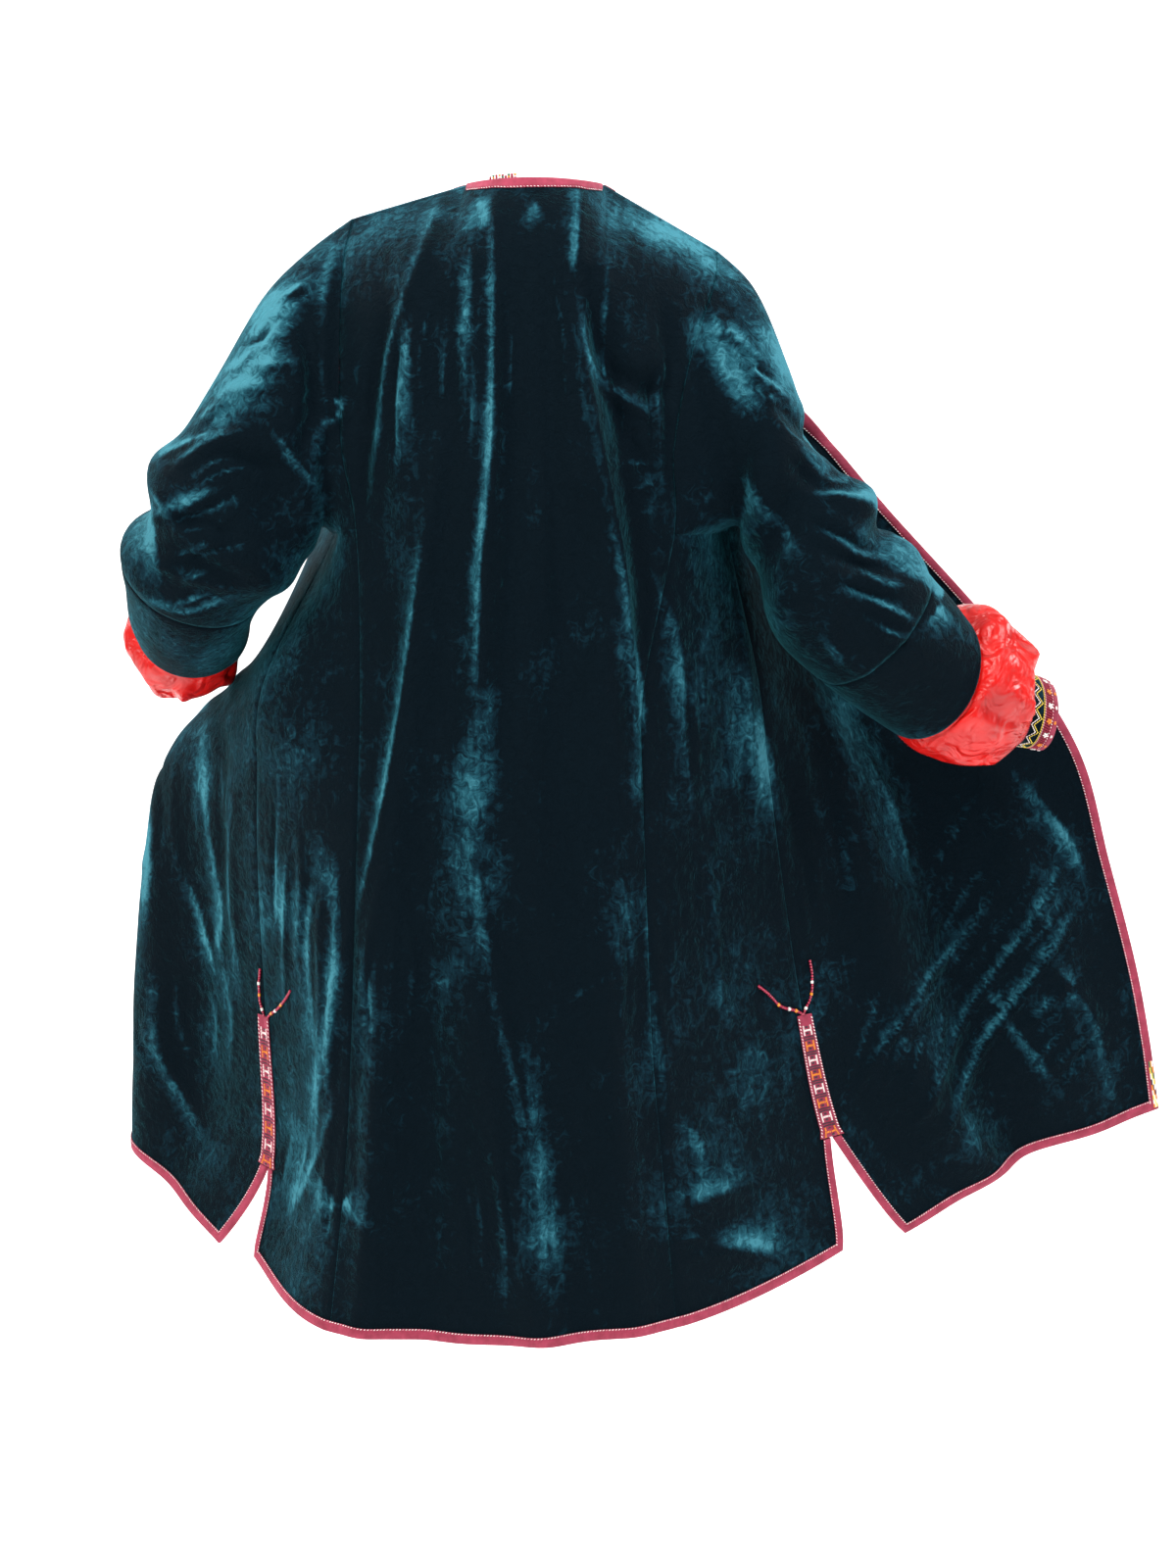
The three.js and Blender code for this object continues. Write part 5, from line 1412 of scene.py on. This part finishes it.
# ------------------------------------------------------------------ Cuff tapes and their embroidery
# The wrist's edge is bound with the same tape. Above it the velvet band carries a chain-stitched
# zigzag in white and yellow, and the tape small white flowers with orange ones between them.
BAND_TEETH, BAND_FLOWERS, PETALS = 15, 15, 5
STITCH = (2.4 * MM, 1.1 * MM, 0.9 * MM)  # length, width and height, as for the tape's
TOOTH_PITCH, RING_PITCH = 2.5 * MM, 2.6 * MM
ON_VELVET, ON_TAPE = 1.5 * MM, 2.6 * MM  # how high the stitches lie
TAPE_INNER_STEP = 0.8  # where the cuff tape begins on the band
# The zigzags: where their lower points lie down the band, how tall they are, and their thread.
ZIGZAGS = [(0.36, 0.14, "white"), (0.42, 0.14, "yellow")]
# The rings of stitches beside them: place down the band and thread. The last six fill the ground.
RINGS = [(0.33, "crimson"), (0.60, "yellow"), (0.63, "pink")]
RINGS += [(0.66 + k * 0.028, "crimson") for k in range(6)]
PETAL_REACH = np.array([0.012, 0.060])  # round the band and down it
PETAL = (3.0 * MM, 1.9 * MM, 1.0 * MM)


def laid(surface, facing, across, level, lift):
    """Places on a surface, lifted off it, with its normals there."""
    out = normals_of(surface, across, level, facing)
    return surface(across, level) + out * lift, out


def charted(surface, acrosses, levels):
    """The same surface read off a table of it, for embroidery's many small calls."""
    wide, tall = len(acrosses), len(levels)
    columns, rows = np.meshgrid(acrosses, levels)
    table = surface(columns.ravel(), rows.ravel()).reshape(tall, wide, 3)

    def read(across, level):
        column = np.interp(across, acrosses, range(wide))
        row = np.interp(level, levels, range(tall))
        c, r = np.minimum(column.astype(int), wide - 2), np.minimum(row.astype(int), tall - 2)
        u, v = (column - c)[:, None], (row - r)[:, None]
        above = table[r, c] * (1 - u) + table[r, c + 1] * u
        return above * (1 - v) + (table[r + 1, c] * (1 - u) + table[r + 1, c + 1] * u) * v

    return read


def run_of_stitches(surface, facing, path, pitch, lift):
    """Stitches end to end along a path given in the surface's own measures."""
    path = np.array(path, dtype=float)
    dense = np.linspace(0, len(path) - 1, 40 * (len(path) - 1) + 1)
    across, level = read_at(dense, np.arange(len(path)), path).T
    places, out = laid(surface, facing, across, level, lift)
    walked = walked_along(places)
    marks = np.arange(pitch / 2, walked[-1], pitch)
    run = read_at(marks + pitch / 4, walked, places) - read_at(marks - pitch / 4, walked, places)
    return read_at(marks, walked, places), unit(run), unit(read_at(marks, walked, out))


def embroider(name, runs):
    """Joins runs of (places, directions, normals, thread, size) into one mesh of stitches."""
    counts = [len(run[0]) for run in runs]
    tones = np.repeat([THREADS[run[3]][0] for run in runs], counts)
    size = [np.repeat([run[4][k] for run in runs], counts) for k in range(3)]
    places, along, out = (np.concatenate([run[k] for run in runs]) for k in range(3))
    stitches(name, places, along, out, size, tones)


for name, half in HALVES.items():
    facing = -half["sign"]
    wrist = charted(band_flat(half, name), np.linspace(-0.05, 1.05, 133), np.linspace(0, 1.05, 22))
    turns = np.linspace(0, 1, BAND_COLUMNS + 1)
    whole = np.ones(len(turns))
    out = normals_of(wrist, turns, whole, facing)
    edge, inner = wrist(turns, whole), wrist(turns, whole * TAPE_INNER_STEP)
    stations = np.stack([edge, inner, out, out], axis=1)
    bind(f"tape_cuff_{name}", stations, half["sign"], f"cuff_tape_{name}", closed=True)

    runs = []
    for start, height, colour in ZIGZAGS:
        ends = 2 * BAND_TEETH
        points = [(k / ends, start + height * (k % 2)) for k in range(ends + 1)]
        run = run_of_stitches(wrist, facing, points, TOOTH_PITCH, ON_VELVET)
        runs.append((*run, colour, STITCH))
    for step, colour in RINGS:
        points = [(k / 24, step) for k in range(25)]
        run = run_of_stitches(wrist, facing, points, RING_PITCH, ON_VELVET)
        runs.append((*run, colour, STITCH))
    # Flowers, large on the velvet and small on the tape.
    for k in range(BAND_FLOWERS):
        middle = (k + 0.5) / BAND_FLOWERS
        colour = "white" if k % 2 == 0 else "orange"
        for petal in range(PETALS):
            angle = petal * 2 * math.pi / PETALS
            way = np.array([math.cos(angle), math.sin(angle)]) * PETAL_REACH
            for centre, share, lift in ((0.735, 1.0, ON_VELVET + 0.9 * MM), (0.91, 0.62, ON_TAPE)):
                ends = (middle, centre) + way * share * np.array([[0.3], [1.0]])
                places, out_there = laid(wrist, facing, *ends.mean(axis=0)[:, None], lift)
                tips = wrist(*ends.T)
                size = tuple(side * share for side in PETAL[:2]) + PETAL[2:]
                runs.append((places, unit(tips[1:] - tips[:1]), out_there, colour, size))
    embroider(f"cuff_embroidery_{name}", runs)

# ------------------------------------------------------------------ Side tabs
# Over the head of each slit lies a tapering tab of crimson tape, worked with a row of H shapes in
# white and orange silk on dark violet, and edged with pale whip stitches.
TAB_TOP_LEVEL, TAB_END_LEVEL = 7.955, 9.06
TAB_SPAN = TAB_END_LEVEL - TAB_TOP_LEVEL
TAB_HALF_WIDTHS = (9.0 * MM, 12.0 * MM)
TAB = 1.2 * MM
TAB_LIFT = CLOTH / 2 + SEAM_GAP + 0.9 * MM
TAB_COLUMNS, TAB_ROWS = 12, 60
TAB_MOTIFS = 8
FIRST_MOTIF, LAST_MOTIF = 0.115, 0.95976  # their middles, in parts of the tab's length
MOTIF_HALF_HEIGHT = 0.034 * TAB_SPAN
MOTIF_TO_GAP = 0.061 * TAB_SPAN  # from a motif's middle to the violet rows below it
SILK_LIFT = 0.9 * MM
# Stitch sizes: the whip stitches, an H's upright and its bar, the violet rows and the notches.
WHIP, UPRIGHT = (2.6 * MM, 1.0 * MM, 0.8 * MM), (2.1 * MM, 1.05 * MM, 1.1 * MM)
BAR, ROW = (2.4 * MM, 1.1 * MM, 1.1 * MM), (2.4 * MM, 1.3 * MM, 0.8 * MM)
NOTCH = (4.2 * MM, 1.8 * MM, 0.7 * MM)


def tab_surface(name):
    """The tab as a surface: -1 to 1 across it, from the gore's side to the front's, and levels
    down."""
    half = HALVES[name]
    panels = [(gore_surfaces[name], half["sign"]), (front_surfaces[name], -half["sign"])]

    def surface(across, level):
        share = (level - TAB_TOP_LEVEL) / TAB_SPAN
        reach = np.abs(across) * np.interp(share, [0, 1], TAB_HALF_WIDTHS)
        one = np.ones(len(level))
        sides = []
        for panel, facing in panels:
            beside = panel(one - 0.02, level)
            shift = np.linalg.norm(panel(one, level) - beside, axis=1) / 0.02
            place = one - reach / shift
            sides.append((panel(place, level), normals_of(panel, one - 0.03, level, facing)))
        (gore_side, gore_out), (front_side, front_out) = sides
        blend = np.clip(across * 0.5 + 0.5, 0, 1)[:, None]
        out = unit(gore_out * (1 - blend) + front_out * blend)
        return np.where((across < 0)[:, None], gore_side, front_side) + out * TAB_LIFT

    return surface


for name, half in HALVES.items():
    surface = charted(tab_surface(name), np.linspace(-1, 1, 25), np.linspace(7.9, 9.1, 181))
    facing = half["sign"]

    def plain(across, level, with_nap_and_painted_light, surface=surface):
        return surface(across, level), np.zeros(len(across))

    tab = sew(
        f"embroidered_tab_{name}", plain, facing, np.linspace(0, 1, TAB_COLUMNS + 1), TAB_ROWS,
        (0.022, 0.12), lambda u, v: (u * 2 - 1, TAB_TOP_LEVEL + v * TAB_SPAN),
    )
    finish_cloth(
        tab, tape, tape, TAB, "embroidery", f"side_tab_{name}",
        flat=(0.021, 0.128), held="stretched",
    )

    def row_of(across, level, count, lift):
        """Places at even steps from and to the given across and level, their run and the way
        out."""
        steps = (np.linspace(*ends, count) for ends in (across, level))
        places, out = laid(surface, facing, *steps, lift)
        return places, unit(np.gradient(places, axis=0)), out

    runs = []
    for side in (-0.9, 0.9):
        places, along, out = row_of(
            (side, side), (TAB_TOP_LEVEL + 0.03, TAB_END_LEVEL - 0.02), 40, SILK_LIFT * 0.8)
        runs.append((places, unit(along + np.cross(out, along) * 0.8), out, "white", WHIP))
    for motif in range(TAB_MOTIFS):
        share = FIRST_MOTIF + (LAST_MOTIF - FIRST_MOTIF) * motif / (TAB_MOTIFS - 1)
        middle = TAB_TOP_LEVEL + TAB_SPAN * share
        colour = "white" if motif % 2 == 0 else "orange"
        ends = (middle - MOTIF_HALF_HEIGHT, middle + MOTIF_HALF_HEIGHT)
        for side in (-0.50, 0.50):
            places, along, out = row_of((side, side), ends, 8, SILK_LIFT)
            runs.append((places, unit(np.cross(out, along)), out, colour, UPRIGHT))
        places, along, out = row_of((-0.34, 0.34), (middle, middle), 6, SILK_LIFT)
        runs.append((places, unit(np.cross(out, along)), out, colour, BAR))
        if motif < TAB_MOTIFS - 1:
            for way in (-1, 1):
                level = middle + MOTIF_TO_GAP + way * TAB_SPAN * 0.010
                places, along, out = row_of((-0.58, 0.58), (level, level), 8, SILK_LIFT * 0.9)
                runs.append((places, along, out, "violet", ROW))
        side_way = np.diff(surface(np.array([0, 0.1]), np.full(2, middle)), axis=0)
        for way in (-1, 1):
            level = middle + way * MOTIF_HALF_HEIGHT * 0.72
            places, out = laid(surface, facing, np.zeros(1), np.array([level]), SILK_LIFT * 0.9)
            runs.append((places, unit(side_way), out, "violet", NOTCH))
    embroider(f"tab_embroidery_{name}", runs)

# ------------------------------------------------------------------ Side tassels
# From the head of each tab two strings of small crimson glass beads rise in a Y and are stitched
# down on the velvet, with a few white and orange beads among them.
BEAD = 3.0 * MM
LARGE_BEAD = 1.25  # how much larger the pale and orange ones are
# Each string as across and up, from the tab's head.
STRINGS = {
    "right": [
        [(-263, -815), (-257, -809), (-240, -801), (-229, -788), (-215, -774)],
        [(-264, -815), (-266, -810), (-272, -796), (-273, -780), (-271, -760)],
    ],
    "left": [
        [(268, -815), (264, -809), (255, -800), (247, -788), (239, -774)],
        [(271, -815), (273, -810), (276, -797), (276, -780), (274, -762)],
    ],
}
# The places of the beads among each string's that aren't crimson.
LARGE_BEADS = [{6: "white", 3: "orange", 11: "orange"}, {2: "white", 7: "orange", 11: "white"}]


def beside_seam(name):
    """Places on the cloth to both sides of the side seam, and the way it faces there."""
    sign = HALVES[name]["sign"]
    sides = ((gore_surfaces[name], sign, 0.2), (front_surfaces[name], -sign, 0.7))
    points, outs = [], []
    for surface, facing, low in sides:
        grid = np.meshgrid(np.linspace(low, 1, 60), np.linspace(7.2, 8.2, 80))
        across, level = (table.ravel() for table in grid)
        points.append(surface(across, level))
        outs.append(normals_of(surface, across, level, facing))
    return np.concatenate(points), np.concatenate(outs)


def smoothed(points, reach):
    """A line of points, each the mean of those up to reach before and after it."""
    share = np.ones(2 * reach + 1) / (2 * reach + 1)
    padded = np.pad(points, ((reach, reach), (0, 0)), mode="edge")
    return np.stack([np.convolve(column, share, "valid") for column in padded.T], axis=1)


for name in HALVES:
    places, along, outs, colours = [], [], [], []
    cloth_points, cloth_outs = beside_seam(name)
    for path, large in zip(STRINGS[name], LARGE_BEADS):
        line = through(np.array(path) * MM, np.linspace(0, len(path) - 1, 200))
        gaps = np.linalg.norm(cloth_points[None, :, [0, 2]] - line[:, None, :], axis=2)
        nearest = gaps.argmin(axis=1)
        out = cloth_outs[nearest]
        string = smoothed(cloth_points[nearest] + out * (CLOTH / 2 + BEAD * 0.5), 12)
        walked = walked_along(string)
        marks = np.arange(BEAD / 2, walked[-1], BEAD * 1.02)
        places.append(read_at(marks, walked, string))
        along.append(unit(np.gradient(places[-1], axis=0)))
        outs.append(unit(read_at(marks, walked, out)))
        colours += [large.get(k, "crimson") for k in range(len(marks))]
    sizes = BEAD * np.array([1.0 if colour == "crimson" else LARGE_BEAD for colour in colours])
    stitches(
        f"beaded_strings_{name}", np.concatenate(places), np.concatenate(along),
        np.concatenate(outs), (sizes, sizes, sizes), [THREADS[colour][0] for colour in colours],
        f"side_tassel_{name}", material=glass,
    )

# ------------------------------------------------------------------ Odd bits of embroidery
# At the foot of the right front's edge the tape is worked with coloured dots, and a scrap of the
# same work shows inside the neck.
EDGE_COLOURS = [
    "white", "orange", "green", "yellow", "white", "violet", "orange", "white", "yellow",
]
EDGE_LEVELS = np.linspace(9.28, 9.93, len(EDGE_COLOURS) * 3)
EDGE_DOT = (2.6 * MM, 1.9 * MM, 1.2 * MM)
NECK_COLOURS = ["crimson", "green", "white", "crimson", "orange"]
NECK_PLACES = np.linspace(0.10, 0.235, 9)
NECK_ROWS = (1.2 * MM, 3.0 * MM, 4.8 * MM)  # how high each row lies above the neck's edge
NECK_INSIDE = 2.6 * MM
NECK_DOT = (3.0 * MM, 1.9 * MM, 1.4 * MM)


def dots(places, out, colours, size):
    """A run of its own for each place, in its own colour."""
    along = unit(np.gradient(places, axis=0))
    return [
        (places[k : k + 1], along[k : k + 1], out[k : k + 1], colour, size)
        for k, colour in enumerate(colours)
    ]


runs = []
for column, across in enumerate((0.006, 0.013, 0.020)):
    places, out = laid(
        front_surfaces["right"], 1, np.full(len(EDGE_LEVELS), across), EDGE_LEVELS, 2.7 * MM)
    order = [(k // 3 + column) % len(EDGE_COLOURS) for k in range(len(EDGE_LEVELS))]
    runs += dots(places, out, [EDGE_COLOURS[k] for k in order], EDGE_DOT)
embroider("right_edge_embroidery", runs)

count = len(NECK_PLACES)
runs = []
for row, height in enumerate(NECK_ROWS):
    places = back_surface(NECK_PLACES, np.zeros(count)) + np.array([0, -NECK_INSIDE, height])
    order = [(k + row * 2) % len(NECK_COLOURS) for k in range(count)]
    outwards = np.tile([0.0, 1.0, 0.0], (count, 1))
    runs += dots(places, outwards, [NECK_COLOURS[k] for k in order], NECK_DOT)
embroider("neck_embroidery", runs)
